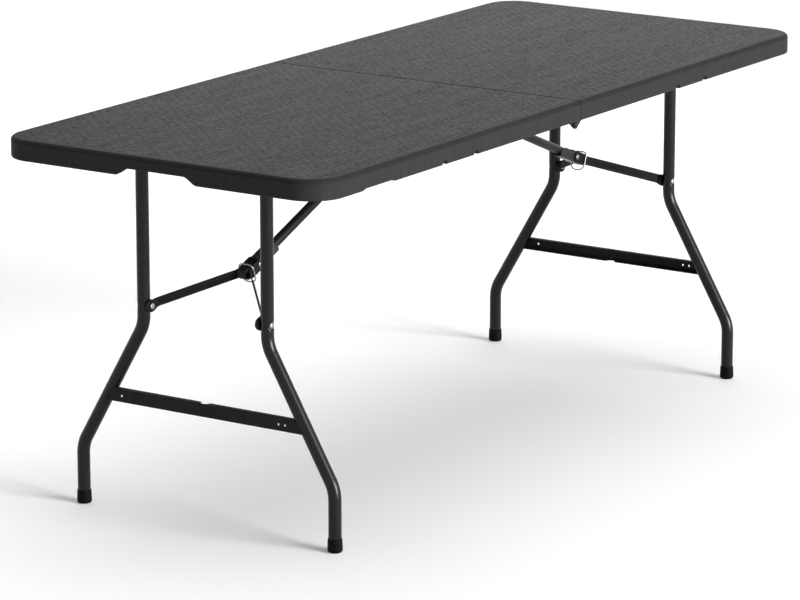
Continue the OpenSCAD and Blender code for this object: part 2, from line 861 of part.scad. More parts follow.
// The lock ring: a loop of wire that holds the fork in line with the tongue.
module lock_ring(side) {
    wire_y = ring_in_y + wire_r;
    wire_top = ring_in_top + wire_r;
    wire_low = ring_low + wire_r;
    top_y = ring_in_y - ring_top_r;
    low_y = ring_in_y - ring_low_r;
    top_z = ring_in_top - ring_top_r;
    low_z = ring_low_r - ring_low;
    color(steel)
        on_side(side)
            at_knee() {
                bar_y(ring_s, wire_top, -top_y, top_y, wire_r);
                bar_y(ring_s, -wire_low, -low_y, low_y, wire_r);
                for (edge = [-1, 1])
                    bar([ring_s, edge * wire_y, low_z], [ring_s, edge * wire_y, top_z], wire_r);
                ring_corner(top_y, top_z, ring_top_r, 0);
                ring_corner(-top_y, top_z, ring_top_r, 90);
                ring_corner(-low_y, low_z, ring_low_r, 180);
                ring_corner(low_y, low_z, ring_low_r, 270);
            }
}

top_half(-1);  // left_top
rail(-1, -1);  // left_front_rail
rail(-1, 1);  // left_back_rail
leaf(-1, -1);  // left_front_leaf
leaf(-1, 1);  // left_back_leaf
anchor_rod(-1);  // left_anchor_rod
rail_screws(-1);  // left_rail_screws
leaf_rivets(-1);  // left_leaf_rivets
fold_pins();
handle_bracket();
carry_handle();
top_half(1);  // right_top
rail(1, -1);  // right_front_rail
rail(1, 1);  // right_back_rail
leaf(1, -1);  // right_front_leaf
leaf(1, 1);  // right_back_leaf
anchor_rod(1);  // right_anchor_rod
rail_screws(1);  // right_rail_screws
leaf_rivets(1);  // right_leaf_rivets
axle(-1);  // left_axle
leg(-1, -1);  // left_front_leg
leg(-1, 1);  // left_back_leg
crossbar(-1);  // left_crossbar
foot(-1, -1);  // left_front_foot
foot(-1, 1);  // left_back_foot
leg_rivets(-1);  // left_leg_rivets
axle(1);  // right_axle
leg(1, -1);  // right_front_leg
leg(1, 1);  // right_back_leg
crossbar(1);  // right_crossbar
foot(1, -1);  // right_front_foot
foot(1, 1);  // right_back_foot
leg_rivets(1);  // right_leg_rivets
link_tube(-1);  // left_link_tube
link_channel(-1);  // left_link_channel
link_tongue(-1);  // left_link_tongue
link_bush(-1);  // left_link_bush
arm(-1, -1);  // left_front_arm
arm(-1, 1);  // left_back_arm
spacers(-1);  // left_spacers
arm_rivets(-1);  // left_arm_rivets
knee_rivet(-1);  // left_knee_rivet
lock_ring(-1);  // left_lock_ring
link_tube(1);  // right_link_tube
link_channel(1);  // right_link_channel
link_tongue(1);  // right_link_tongue
link_bush(1);  // right_link_bush
arm(1, -1);  // right_front_arm
arm(1, 1);  // right_back_arm
spacers(1);  // right_spacers
arm_rivets(1);  // right_arm_rivets
knee_rivet(1);  // right_knee_rivet
lock_ring(1);  // right_lock_ring
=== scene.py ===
import math

import bpy
import numpy as np
from mathutils import Euler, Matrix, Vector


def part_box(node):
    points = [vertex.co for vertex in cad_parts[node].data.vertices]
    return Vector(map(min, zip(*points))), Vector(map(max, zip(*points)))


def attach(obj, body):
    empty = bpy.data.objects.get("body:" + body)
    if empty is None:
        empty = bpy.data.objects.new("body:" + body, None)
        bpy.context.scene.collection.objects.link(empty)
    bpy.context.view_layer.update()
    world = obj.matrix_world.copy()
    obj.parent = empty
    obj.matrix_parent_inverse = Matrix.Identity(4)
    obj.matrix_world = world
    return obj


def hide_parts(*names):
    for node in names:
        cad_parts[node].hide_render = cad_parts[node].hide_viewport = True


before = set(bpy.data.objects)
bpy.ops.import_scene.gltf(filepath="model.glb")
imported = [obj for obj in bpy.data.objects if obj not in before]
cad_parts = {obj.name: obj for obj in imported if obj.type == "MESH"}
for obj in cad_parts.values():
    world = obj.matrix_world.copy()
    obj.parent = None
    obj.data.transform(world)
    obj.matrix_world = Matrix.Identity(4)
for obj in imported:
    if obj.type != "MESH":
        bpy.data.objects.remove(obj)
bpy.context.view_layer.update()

# Top halves
# Each half is a blow-moulded polyethylene tray with a woven-look face, a smooth rolled edge
# and a ribbed skirt, cut away for a hand at the end and for the arms of a carrying handle.
# The left half's is also a little higher over the leg pivots. Dimples stiffen the underside.

MM = 0.001
HALVES = (("left", -1), ("right", 1))
EDGES = (("front", -1), ("back", 1))


def node_box(node):
    """Lowest and highest corner of a CAD node, in millimetres."""
    return [np.array(corner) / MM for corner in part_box(node)]


TOP_LOW, TOP_HIGH = node_box("right_top")
RAIL_LOW, RAIL_HIGH = node_box("right_back_rail")
SEAM, SKIRT_Z = TOP_LOW[0], TOP_LOW[2]
TOP_END, TOP_SIDE, TOP_FACE = TOP_HIGH
INNER_SIDE, CEILING = RAIL_HIGH[1:]
END_WALL = 20
CORNER = 70
EDGE = 8
RIM = 4
LIP = 3
SEAM_ROUND = 1.5
SEAM_WALL_T, SEAM_WALL_SHORT = 11, 12
HAND_HOLD = 14.5
HAND_HOLD_TOP = 62
HAND_HOLD_CURVE = 32
RELIEF = 3
RELIEF_X = (656, 766)
RELIEF_SLOPE = 14
NOTCH = 7
NOTCH_W = 15
NOTCH_SLOPE = 1
NOTCH_X = (382, 492)
RIB_PITCH = 6.1
RIB_DEPTH = 0.5
RIB_LEAST_SHARE = 0.7
RIB_START, RIB_FULL = 12, 20
RIB_RUNOUT, RIB_CLEAR = 1.5, 0.4
DIMPLE_R = 12
DIMPLE_UP = 6
DIMPLE_PITCH = 76
DIMPLE_FIRST = 56.8
DIMPLE_COUNT = (11, 9)
STRAND_L, STRAND_PITCH, GROOVE_W = 24, 13, 1.7
SEAM_POINTS = 5
FRONT_STEPS, BEND_STEPS, END_STEPS = 560, 74, 406
CELL_POINTS = 8
CAP_CORNERS = 12
FACE, ROLLED, RIBBED, INSIDE = range(4)


def grid_quads(rows, columns, close_rows=False, close_columns=False):
    """Quads of a grid of points numbered row by row: (i, j), (i, j+1), (i+1, j+1), (i+1, j)."""
    i = np.arange(rows if close_rows else rows - 1)[:, None]
    j = np.arange(columns if close_columns else columns - 1)[None, :]
    down, right = (i + 1) % rows, (j + 1) % columns
    corners = (i * columns + j, i * columns + right, down * columns + right, down * columns + j)
    return np.stack(corners, -1).reshape(-1, 4)


def loft(rings, close=False):
    """Joins rings of equally many points, each to the next. The first and the last ring are
    capped, or joined to each other."""
    rings = np.asarray(rings, float)
    rows, columns = rings.shape[:2]
    faces = grid_quads(rows, columns, close, True).tolist()
    if not close:
        faces += [list(range(columns))[::-1], list(range((rows - 1) * columns, rows * columns))]
    return rings.reshape(-1, 3), faces


def circle(radius, count=32):
    """radius * (cos a, sin a) at evenly spaced angles."""
    a = np.linspace(0, 2 * math.pi, count, endpoint=False)
    return radius * np.stack([np.cos(a), np.sin(a)], -1)


def rounded_outline(width, height, radius):
    """A rectangle about the origin with round corners, anticlockwise."""
    turn = np.radians(np.linspace(0, 90, 5))
    quarter = radius * np.stack([np.cos(turn), np.sin(turn)], -1)
    corner = np.array([width / 2 - radius, height / 2 - radius])
    left = quarter[::-1] * [-1, 1] + corner * [-1, 1]
    return np.concatenate([quarter + corner, left, -quarter - corner, -left])


def inset(outline, distance):
    """Moves each point of a closed anticlockwise outline inwards by the distance, along the sum
    of its two edges' normals. A sharp corner's point is held from going too far."""
    along = np.roll(outline, -1, 0) - outline
    along /= np.linalg.norm(along, axis=1)[:, None]
    before = np.roll(along, 1, 0)
    inward = np.stack([-along[:, 1] - before[:, 1], along[:, 0] + before[:, 0]], -1)
    sharpness = np.maximum(1 + (along * before).sum(1), 0.3)
    return outline + distance * inward / sharpness[:, None]


def prism(outline, low, high, axis, radius):
    """An outline carried along an axis from low to high, with its end edges rounded."""
    turns = np.radians([0, 30, 60, 90])
    inward, back = radius * (1 - np.sin(turns)), radius * (1 - np.cos(turns))
    depths = np.r_[low + back, high - back[::-1]]
    return loft([np.insert(inset(outline, d), axis, depth, axis=1)
                 for depth, d in zip(depths, np.r_[inward, inward[::-1]])])


def block(low, high, radius):
    """A box between two corners with all its edges rounded, a little less at its ends in Y."""
    low, high = np.array(low, float), np.array(high, float)
    middle, size = (low + high) / 2, high - low
    outline = rounded_outline(size[0], size[2], radius) + middle[[0, 2]]
    return prism(outline, low[1], high[1], 1, radius * 0.95)


def turned_out(points, faces):
    """Reverses a closed shell's faces if its signed volume is negative."""
    count = np.array([len(face) for face in faces])
    first = np.repeat([face[0] for face in faces], count - 2)
    second = np.concatenate([face[1:-1] for face in faces])
    third = np.concatenate([face[2:] for face in faces])
    a, b, c = (points[i] - points[0] for i in (first, second, third))
    inwards = np.einsum("ij,ij->i", a, np.cross(b, c)).sum() < 0
    return [face[::-1] for face in faces] if inwards else faces


def mirrored(shells, side, edge=1):
    """Shells of the right half's back edge, carried over to another half or edge."""
    return [(np.asarray(shell[0]) * [side, edge, 1], *shell[1:]) for shell in shells]


def piece(name, shells, materials, body, slot, *nodes, sharp=32):
    """One object made of closed shells: points in millimetres, faces, and the number of each
    face's material. Caps of many corners are flat, and all else is smooth."""
    points, faces, finish = [], [], []
    for shell_points, shell_faces, *kinds in shells:
        shell_points = np.asarray(shell_points, float)
        offset = sum(len(p) for p in points)
        faces += [[i + offset for i in face] for face in turned_out(shell_points, shell_faces)]
        points.append(shell_points)
        finish += np.broadcast_to(kinds[0] if kinds else 0, len(shell_faces)).tolist()
    mesh = bpy.data.meshes.new(name)
    mesh.from_pydata(np.concatenate(points) * MM, [], faces)
    for material in materials:
        mesh.materials.append(material)
    mesh.polygons.foreach_set("material_index", finish)
    mesh.polygons.foreach_set("use_smooth", [len(face) < CAP_CORNERS for face in faces])
    mesh.set_sharp_from_angle(angle=math.radians(sharp))
    made = bpy.data.objects.new(name, mesh)
    bpy.context.scene.collection.objects.link(made)
    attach(made, body)
    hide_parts(*nodes)


def colour(code):
    """A #rrggbb colour as linear RGBA."""
    c = np.array([int(code[k:k + 2], 16) for k in (1, 3, 5)]) / 255
    return (*np.where(c > 0.04045, ((c + 0.055) / 1.055) ** 2.4, c / 12.92), 1)


def add(tree, kind, inputs=(), **settings):
    """Adds a shader node. An input is a plain value, or a socket to link from."""
    made = tree.nodes.new("ShaderNode" + kind)
    for key, value in settings.items():
        setattr(made, key, value)
    for key, value in dict(inputs).items():
        if isinstance(value, bpy.types.NodeSocket):
            tree.links.new(value, made.inputs[key])
        else:
            made.inputs[key].default_value = value
    return made


def surface(name, **inputs):
    """A material with one principled shader, and that shader's tree."""
    material = bpy.data.materials.new(name)
    material.use_nodes = True
    tree = material.node_tree
    shader = tree.nodes["Principled BSDF"]
    for key, value in inputs.items():
        shader.inputs[key.replace("_", " ").title().replace("Ior", "IOR")].default_value = value
    return material, tree, shader


def ramp(tree, value, *stops):
    """A colour ramp: (position, colour code) stops."""
    made = add(tree, "ValToRGB", {"Fac": value})
    elements = made.color_ramp.elements
    for _ in stops[2:]:
        elements.new(0.5)
    for element, (position, code) in zip(elements, stops):
        element.position, element.color = position, colour(code)
    return made.outputs["Color"]


def object_noise(tree, scale, detail=2, stretch=(1, 1, 1)):
    """Noise in the object's own space. The scale is in waves per metre."""
    place = add(tree, "TexCoord").outputs["Object"]
    stretched = add(tree, "VectorMath", {0: place, 1: stretch}, operation="MULTIPLY").outputs[0]
    noise = add(tree, "TexNoise", {"Vector": stretched, "Scale": scale, "Detail": detail})
    return noise.outputs["Fac"]


def bump(tree, shader, height, strength, distance):
    """Gives a shader a bump of so many metres."""
    made = add(tree, "Bump", {"Height": height, "Strength": strength, "Distance": distance})
    tree.links.new(made.outputs["Normal"], shader.inputs["Normal"])


def woven_plastic():
    """Charcoal polyethylene moulded like woven cane. Strands run along X in rows with a groove
    between them, drawn a little coarser than the real ones so that they show, and some lie
    deeper than others. Long faint bands run the same way. The face is matt, with light strands;
    the grooves and the deeper strands are painted darker as shade, and the same values set the bump."""
    material, tree, shader = surface("woven_face", roughness=0.5)
    place = add(tree, "TexCoord").outputs["Object"]
    wander = add(tree, "TexNoise", {"Vector": place, "Scale": 60, "Detail": 2}).outputs["Color"]
    shift = add(tree, "VectorMath", {0: wander, 1: (0.002,) * 3}, operation="MULTIPLY").outputs[0]
    place = add(tree, "VectorMath", {0: place, 1: shift}, operation="ADD").outputs[0]
    # Painted shade: the Mortar value darkens the grooves, and Color2 darkens the deeper strands.
    strands = add(tree, "TexBrick", {
        "Vector": place, "Scale": 1, "Brick Width": STRAND_L * MM, "Row Height": STRAND_PITCH * MM,
        "Mortar Size": GROOVE_W * MM, "Mortar Smooth": 1,
        "Color1": (1,) * 4, "Color2": (0.84, 0.84, 0.84, 1), "Mortar": (0.4,) * 4})
    fleck = object_noise(tree, 260, 2, (0.5, 1, 1))
    bands = object_noise(tree, 40, 2, (0.1, 1, 1))
    uneven = add(tree, "Math", {0: bands, 1: 0.5, 2: 0.75}, operation="MULTIPLY_ADD").outputs[0]
    painted_shade_and_relief = add(tree, "Math", {0: strands.outputs["Color"], 1: fleck}, operation="MULTIPLY").outputs[0]
    painted_shade_and_relief = add(tree, "Math", {0: painted_shade_and_relief, 1: uneven}, operation="MULTIPLY").outputs[0]
    tree.links.new(ramp(tree, painted_shade_and_relief, (0.1, "#110f10"), (0.36, "#1f1c1e"), (0.56, "#302c2e")),
                   shader.inputs["Base Color"])
    gloss = add(tree, "MapRange", {
        "Value": painted_shade_and_relief, "From Min": 0.15, "From Max": 0.5, "To Min": 0.002, "To Max": 0.025})
    tree.links.new(gloss.outputs[0], shader.inputs["Specular IOR Level"])
    bump(tree, shader, painted_shade_and_relief, 1, 0.0007)
    return material


def plain_plastic(name, code, deep, roughness, specular):
    """Smooth moulded polyethylene. The mould's faint clouding and pimples give it a soft sheen."""
    material, tree, shader = surface(name, roughness=roughness, specular_ior_level=specular)
    tree.links.new(ramp(tree, object_noise(tree, 30, 3), (0.35, deep), (0.65, code)),
                   shader.inputs["Base Color"])
    bump(tree, shader, object_noise(tree, 900), 0.25, 0.0002)
    return material


def ribbed_plastic():
    """The skirt's side: the same plastic, with upright streaks that make some ribs look a little
    darker than others."""
    material, tree, shader = surface("ribbed_side", roughness=0.52, specular_ior_level=0.04)
    streaks = object_noise(tree, 120, 3, (1, 1, 0.08))
    tree.links.new(ramp(tree, streaks, (0.3, "#292a2a"), (0.7, "#2d2e2e")), shader.inputs["Base Color"])
    bump(tree, shader, streaks, 0.3, 0.0002)
    return material


def smooth_step(x, low, high):
    """3t^2 - 2t^3 with t going from 0 at low to 1 at high."""
    t = np.clip((x - low) / (high - low), 0, 1)
    return t * t * (3 - 2 * t)


def skirt_outline(end, side, corner):
    """A half's outline from the seam's front end, along the front, round a corner of that
    radius, across the end, round the other corner and along the back. Its points lie about
    1.5 mm apart, four to a rib, and closer where the seam's edge is rounded."""
    at_seam = SEAM + SEAM_ROUND * np.linspace(0, 1, SEAM_POINTS) ** 2
    x = np.r_[at_seam, np.linspace(SEAM, end - corner, FRONT_STEPS + 1)[2:]]
    turn = np.radians(np.linspace(-90, 0, BEND_STEPS + 1))[1:]
    bend = np.stack([end - corner + corner * np.cos(turn), corner - side + corner * np.sin(turn)], -1)
    y = (side - corner) * np.linspace(-1, 1, END_STEPS + 1)[1:-1]
    near = np.concatenate([np.stack([x, np.full(len(x), -side)], -1), bend])
    return np.concatenate([near, np.stack([np.full(len(y), end), y], -1), near[::-1] * [1, -1]])


def lip_rise(points, relief_depth):
    """How far the skirt's lower edge is cut up at each point of the outline: for the hand-hold,
    half a cosine wave down on either side, the relief over the leg pivots and the notches."""
    x, y = points.T
    hold = HAND_HOLD / 2 * (1 + np.cos(math.pi * np.clip(
        (abs(y) - HAND_HOLD_TOP) / HAND_HOLD_CURVE, 0, 1)))
    start, stop = RELIEF_X
    relief = relief_depth * smooth_step(x, start, start + RELIEF_SLOPE) \
        * (1 - smooth_step(x, stop - RELIEF_SLOPE, stop))
    notch = NOTCH * (y < 0) * sum(
        1 - smooth_step(abs(x - middle), NOTCH_W / 2 - NOTCH_SLOPE, NOTCH_W / 2) for middle in NOTCH_X)
    along = np.where(x < TOP_END - CORNER, np.maximum(relief, notch), 0)
    return np.where(x > TOP_END - 1, hold, along)


def skirt_rows():
    """Rows of the skirt from the ceiling inside, round the lip and up to the face: inset from
    the side, further inset from the end, height, how far the surface looks out and up, the
    ribs' depth, and the finish of the band that follows."""
    wall = TOP_SIDE - INNER_SIDE
    more = END_WALL - wall
    low = SKIRT_Z + LIP
    shoulder = TOP_FACE - EDGE
    rows = [(wall, more, CEILING, 0, 0, 0, INSIDE), (wall, more, low, 0, 0, 0, INSIDE)]
    for a in np.radians([-150, -120, -90]):
        up = math.sin(a)
        rows.append((wall - LIP * (1 + math.cos(a)), more, low + LIP * up, 0, up, 0, INSIDE))
    for a in np.radians([-90, -60, -30, 0]):
        out, up = math.cos(a), math.sin(a)
        rows.append((LIP * (1 - out), 0, low + LIP * up, out, up, 0, RIBBED))
    rows += [(0, 0, low + RIB_RUNOUT, 1, 0, 1, RIBBED), (0, 0, shoulder - RIB_RUNOUT, 1, 0, 1, RIBBED),
             (0, 0, shoulder - RIB_CLEAR, 1, 0, 0, ROLLED)]
    for a in np.radians(np.linspace(0, 90, 10)):
        out, up = math.cos(a), math.sin(a)
        rows.append((EDGE * (1 - out), 0, shoulder + EDGE * up, out, up, 0, ROLLED))
    return rows + [(EDGE + RIM, 0, TOP_FACE, 0, 1, 0, FACE)]


def dimple_cells():
    """The dimples under a half: square cells of the ceiling, each with a round cup pushed up.
    A cell's points go round in rings, from the square's edge to the cup's flat top."""
    half = DIMPLE_PITCH / 2
    t = np.linspace(-half, half, CELL_POINTS + 1)[:-1]
    far = np.full(CELL_POINTS, half)
    square = np.concatenate([np.stack(side, -1) for side in ((t, -far), (far, t), (-t, far), (-far, -t))])
    count = len(square)
    turn = np.arctan2(square[:, 1], square[:, 0])
    around = np.stack([np.cos(turn), np.sin(turn)], -1)
    cup = ((DIMPLE_R + 2, 0), (DIMPLE_R + 1.2, 0), (DIMPLE_R + 0.4, 0.4), (DIMPLE_R, 1.2),
           (DIMPLE_R * 0.72, DIMPLE_UP - 1), (DIMPLE_R * 0.6, DIMPLE_UP))
    rings = [np.c_[square, np.zeros(count)]] + [np.c_[r * around, np.full(count, up)] for r, up in cup]
    cell = np.concatenate(rings)
    i, j = np.meshgrid(np.arange(DIMPLE_COUNT[0]), np.arange(DIMPLE_COUNT[1]) - DIMPLE_COUNT[1] // 2)
    middles = np.stack([DIMPLE_FIRST + DIMPLE_PITCH * i.ravel(), DIMPLE_PITCH * j.ravel(),
                        np.full(i.size, CEILING)], -1)
    starts = len(cell) * np.arange(len(middles))
    quads = starts[:, None, None] + grid_quads(len(rings), count, close_columns=True)[:, ::-1]
    lids = starts[:, None] + np.arange(len(cell) - count, len(cell))[::-1]
    return (middles[:, None] + cell).reshape(-1, 3), quads.reshape(-1, 4).tolist() + lids.tolist()


def ceiling_margin():
    """Half the edge of the field of dimples, from its seam side's middle to its end's middle."""
    left = DIMPLE_FIRST - DIMPLE_PITCH / 2
    right = left + DIMPLE_PITCH * DIMPLE_COUNT[0]
    reach = DIMPLE_PITCH * DIMPLE_COUNT[1] / 2
    y = np.linspace(0, -reach, CELL_POINTS // 2 * DIMPLE_COUNT[1] + 1)
    x = np.linspace(left, right, CELL_POINTS * DIMPLE_COUNT[0] + 1)[1:]
    plan = np.concatenate([np.c_[np.full(len(y), left), y], np.c_[x, np.full(len(x), -reach)],
                           np.c_[np.full(len(y) - 1, right), y[::-1][1:]]])
    return np.c_[plan, np.full(len(plan), CEILING)]


def welded(points, faces):
    """Makes one of points within a hundredth of a millimetre, and drops doubled corners."""
    _, first, where = np.unique(np.round(points, 2), axis=0, return_index=True, return_inverse=True)
    where = where.ravel()
    faces = [where[face].tolist() for face in faces]
    return points[first], [[i for k, i in enumerate(face) if i != face[k - 1]] for face in faces]


def tray(relief_depth):
    """The skirt's rows swept round the outline and closed by the face, the ceiling and the
    flat section at the seam. The grooves between ribs go as sine squared along the outline,
    and each has its own share of the depth."""
    plan = skirt_outline(TOP_END, TOP_SIDE, CORNER)
    run = np.r_[0, np.cumsum(np.linalg.norm(np.diff(plan, axis=0), axis=1))]
    share = np.random.default_rng(7).uniform(RIB_LEAST_SHARE, 1, int(run[-1] / RIB_PITCH) + 2)
    groove = RIB_DEPTH * share[(run / RIB_PITCH).astype(int)] * np.sin(math.pi * run / RIB_PITCH) ** 2
    groove *= smooth_step(run, RIB_START, RIB_FULL) * smooth_step(run[-1] - run, RIB_START, RIB_FULL)
    from_seam = np.clip(SEAM + SEAM_ROUND - plan[:, 0], 0, SEAM_ROUND)
    rounded = SEAM_ROUND - np.sqrt(SEAM_ROUND ** 2 - from_seam ** 2)
    heading = np.gradient(plan, axis=0)
    outward = np.stack([heading[:, 1], -heading[:, 0]], -1) / np.linalg.norm(heading, axis=1)[:, None]
    rise = lip_rise(plan, relief_depth)
    rows = skirt_rows()
    loops = []
    for back, more, z, out, up, rib, _ in rows:
        flat = skirt_outline(TOP_END - back - more, TOP_SIDE - back, CORNER - back - more)
        flat = flat - outward * (rib * groove + out * rounded)[:, None]
        cut = rise * np.clip((CEILING - z) / (CEILING - SKIRT_Z), 0, 1)
        loops.append(np.c_[flat, z + cut - up * rounded])
    n, m = len(plan), len(rows)
    faces = grid_quads(m, n).tolist()
    kinds = np.repeat([row[-1] for row in rows[:-1]], n - 1).tolist()
    # The face is strips across the seam's rounded edge, and one flat polygon beyond them.
    top = (m - 1) * n + np.arange(n)
    near, far = top[:SEAM_POINTS + 1], top[:-SEAM_POINTS - 2:-1]
    faces += np.stack([near[:-1], near[1:], far[1:], far[:-1]], -1).tolist()
    faces.append(top[SEAM_POINTS:n - SEAM_POINTS].tolist())
    kinds += [FACE] * (SEAM_POINTS + 1)
    # The flat section at the seam, and the ceiling round the dimples in two mirrored parts.
    cells, cell_faces = dimple_cells()
    points = np.concatenate(loops)
    faces += [[i + len(points) for i in face] for face in cell_faces]
    points = np.concatenate([points, cells, [[SEAM, 0, CEILING]]])
    middle = len(points) - 1
    section = np.arange(m) * n
    faces.append(section.tolist() + (section + n - 1)[::-1].tolist() + [middle])
    margin = ceiling_margin()
    for edge, skirt in ((1, np.arange(n // 2 + 1)), (-1, n - 1 - np.arange(n // 2 + 1))):
        inner = len(points) + np.arange(len(margin))[::-1]
        faces.append([middle, *skirt.tolist(), *inner.tolist()][::-edge])
        points = np.concatenate([points, margin * [1, edge, 1]])
    kinds += [INSIDE] * (len(faces) - len(kinds))
    points, faces = welded(points, faces)
    kept = [k for k, face in enumerate(faces) if len(face) > 2]
    return points, [faces[k] for k in kept], [kinds[k] for k in kept]


top_finishes = [
    woven_plastic(),
    plain_plastic("rolled_edge", "#242424", "#202020", 0.62, 0.06),
    ribbed_plastic(),
    plain_plastic("moulded_inside", "#343332", "#2e2d2c", 0.5, 0.2)]
wall_end = INNER_SIDE - SEAM_WALL_SHORT
seam_wall = block((SEAM, -wall_end, SKIRT_Z), (SEAM + SEAM_WALL_T, wall_end, CEILING + 1), 1.5)
for half, side in HALVES:
    shells = [tray(RELIEF if side < 0 else 0), (*seam_wall, INSIDE)]
    piece(f"{half}_tray", mirrored(shells, side), top_finishes, f"{half}_half", "top_plastic",
          f"{half}_top", sharp=40)

# Rails and screws
# A black steel angle inside each long skirt carries the journals, the anchor rod and the
# hinge. Pan-headed screws hold its flange up into the panel. The left front one is slotted
# for the arms of the handle.

RAIL_T, RAIL_BEND = 2, 3
CUT_STEP = 0.01
SCREW_X = (110, 330, 550, 770)
SCREW_Y = 347
SCREW_TOP = 735
SCREW_R = 2.5
HEAD_R, HEAD_T, HEAD_SUNK = 5, 1.6, 0.4


def sweep(section, path, normal, close=False):
    """Carries a section along a path: each ring is path + u * normal + v * (tangent x normal).
    The section may differ from station to station."""
    path = np.asarray(path, float)
    normal = np.asarray(normal, float)
    along = np.roll(path, -1, 0) - np.roll(path, 1, 0) if close else np.gradient(path, axis=0)
    along /= np.linalg.norm(along, axis=1)[:, None]
    across = np.cross(along, normal)
    section = np.broadcast_to(section, (len(path), *np.shape(section)[-2:]))
    rings = path[:, None] + section[..., :1] * normal + section[..., 1:] * across[:, None]
    return loft(rings, close)


def rounded_path(corners, radius, steps=8, close=False):
    """A line through corners, each bent one rounded to its radius. A radius of 0 leaves it
    sharp. The arc swings from its start to its stop, both seen from its middle:
    (sin(swing - t) * start + sin(t) * stop) / sin(swing)."""
    corners = np.asarray(corners, float)
    radii = np.broadcast_to(radius, len(corners))
    path = []
    for k, here in enumerate(corners):
        if radii[k] == 0 or not close and k in (0, len(corners) - 1):
            path.append(here[None])
            continue
        arms = np.array([corners[k - 1] - here, corners[(k + 1) % len(corners)] - here])
        arms /= np.linalg.norm(arms, axis=1)[:, None]
        half = math.acos(arms[0] @ arms[1]) / 2
        swing = math.pi - 2 * half
        middle = here + arms.sum(0) / np.linalg.norm(arms.sum(0)) * radii[k] / math.sin(half)
        start, stop = here + arms * radii[k] / math.tan(half) - middle
        t = np.linspace(0, swing, steps + 1)[:, None]
        path.append(middle + (np.sin(swing - t) * start + np.sin(t) * stop) / math.sin(swing))
    return np.concatenate(path)


def turned(start, direction, profile, count=32):
    """Circles square to a direction, at (distance, radius) pairs of the profile."""
    axis = np.asarray(direction, float) / np.linalg.norm(direction)
    u = np.cross(axis, (0, 0, 1) if abs(axis[2]) < 0.9 else (1, 0, 0))
    u /= np.linalg.norm(u)
    ring = circle(1, count) @ np.array([u, np.cross(axis, u)])
    return loft([np.asarray(start, float) + d * axis + r * ring for d, r in profile])


def rod(start, stop, radius, edge=0.5, count=32):
    """A round bar with its end edges broken."""
    start, stop = np.asarray(start, float), np.asarray(stop, float)
    length = np.linalg.norm(stop - start)
    profile = [(0, radius - edge), (0.3 * edge, radius - 0.3 * edge), (edge, radius)]
    return turned(start, stop - start, profile + [(length - d, r) for d, r in profile[::-1]], count)


def head(place, direction, radius, height, recess=0.0):
    """A rivet's or screw's low dome, let a little into what it sits on. A quarter of its height
    is a straight rim. A recess sinks its middle."""
    a = np.radians(np.linspace(0, 75, 6))
    rise = height * (0.25 + 0.75 * np.sin(a) / math.sin(a[-1]))
    profile = [(-HEAD_SUNK, radius), *zip(rise, radius * np.cos(a))]
    if recess:
        profile += [(height, radius * 0.25), (height - recess, radius * 0.2)]
    return turned(place, direction, profile, 24)


def coated_steel(name, code, deep, roughness, specular=0.24):
    """Black powder coat, baked on to steel. A very fine orange peel softens its highlights."""
    material, tree, shader = surface(name, roughness=roughness, specular_ior_level=specular)
    tree.links.new(ramp(tree, object_noise(tree, 45, 3), (0.3, deep), (0.7, code)),
                   shader.inputs["Base Color"])
    bump(tree, shader, object_noise(tree, 700), 0.3, 0.00015)
    return material


def zinc_steel():
    """Bright zinc plate on steel. Fine scratches blur what it mirrors."""
    material, tree, shader = surface("zinc_plate", metallic=1)
    scratches = object_noise(tree, 400, 3)
    tree.links.new(ramp(tree, scratches, (0.3, "#85878a"), (0.7, "#a8aaac")), shader.inputs["Base Color"])
    rough = add(tree, "MapRange", {"Value": scratches, "To Min": 0.3, "To Max": 0.5})
    tree.links.new(rough.outputs[0], shader.inputs["Roughness"])
    return material


coat = [coated_steel("powder_coat", "#0d0d0e", "#09090a", 0.27)]
zinc = [zinc_steel()]
rail_foot, rail_inner_y = RAIL_LOW[2], RAIL_LOW[1]
web = INNER_SIDE - RAIL_T
flange_z = CEILING - RAIL_T
angle = np.concatenate([
    rounded_path([(INNER_SIDE, rail_foot), (INNER_SIDE, CEILING), (rail_inner_y, CEILING)], RAIL_BEND, 5),
    rounded_path([(rail_inner_y, flange_z), (web, flange_z), (web, rail_foot)], RAIL_BEND - RAIL_T, 5)])


def rail_angle(slots):
    """The angle from end to end of its half, with its web's foot cut up at each slot. Each side
    of a slot is a pair of rings a step apart."""
    stations = [(RAIL_LOW[0], rail_foot), (RAIL_HIGH[0], rail_foot)]
    for x in slots:
        for sign in (-1, 1):
            edge_x = x + sign * NOTCH_W / 2
            stations += [(edge_x, SKIRT_Z + NOTCH), (edge_x + sign * CUT_STEP, rail_foot)]
    rings = []
    for x, foot_z in sorted(stations):
        ring = np.insert(angle, 0, x, axis=1)
        ring[[0, -1], 2] = foot_z
        rings.append(ring)
    return loft(rings)


screws = [shell for x in SCREW_X for shell in (
    head((x, SCREW_Y, flange_z), (0, 0, -1), HEAD_R, HEAD_T, recess=1),
    rod((x, SCREW_Y, flange_z), (x, SCREW_Y, SCREW_TOP), SCREW_R))]
for half, side in HALVES:
    for edge_name, edge in EDGES:
        rail = rail_angle(NOTCH_X if side < 0 and edge < 0 else ())
        piece(f"{half}_{edge_name}_angle", mirrored([rail], side, edge), coat, f"{half}_half",
              "black_coat", f"{half}_{edge_name}_rail")
    both = mirrored(screws, side) + mirrored(screws, side, -1)
    piece(f"{half}_screw_set", both, zinc, f"{half}_half", "bright_steel", f"{half}_rail_screws")

# Hinge
# Two pairs of stamped steel leaves join the halves under the seam. Each turns on a riveted
# pin, and each leaf is riveted to its rail.

FOLD_Z = 690
LEAF_Y = 353.5
LEAF_L = 62
LEAF_ROOT = (20, 26)
LEAF_FOOT, LEAF_TOP = 701, 722
LEAF_GAP = 1.1
KNUCKLE_R = 8
LEAF_RIVETS = ((43, 711.5), (56, 711.5))
PIN_R, PIN_HEAD_R = 3, 5
CLEAR = 0.3


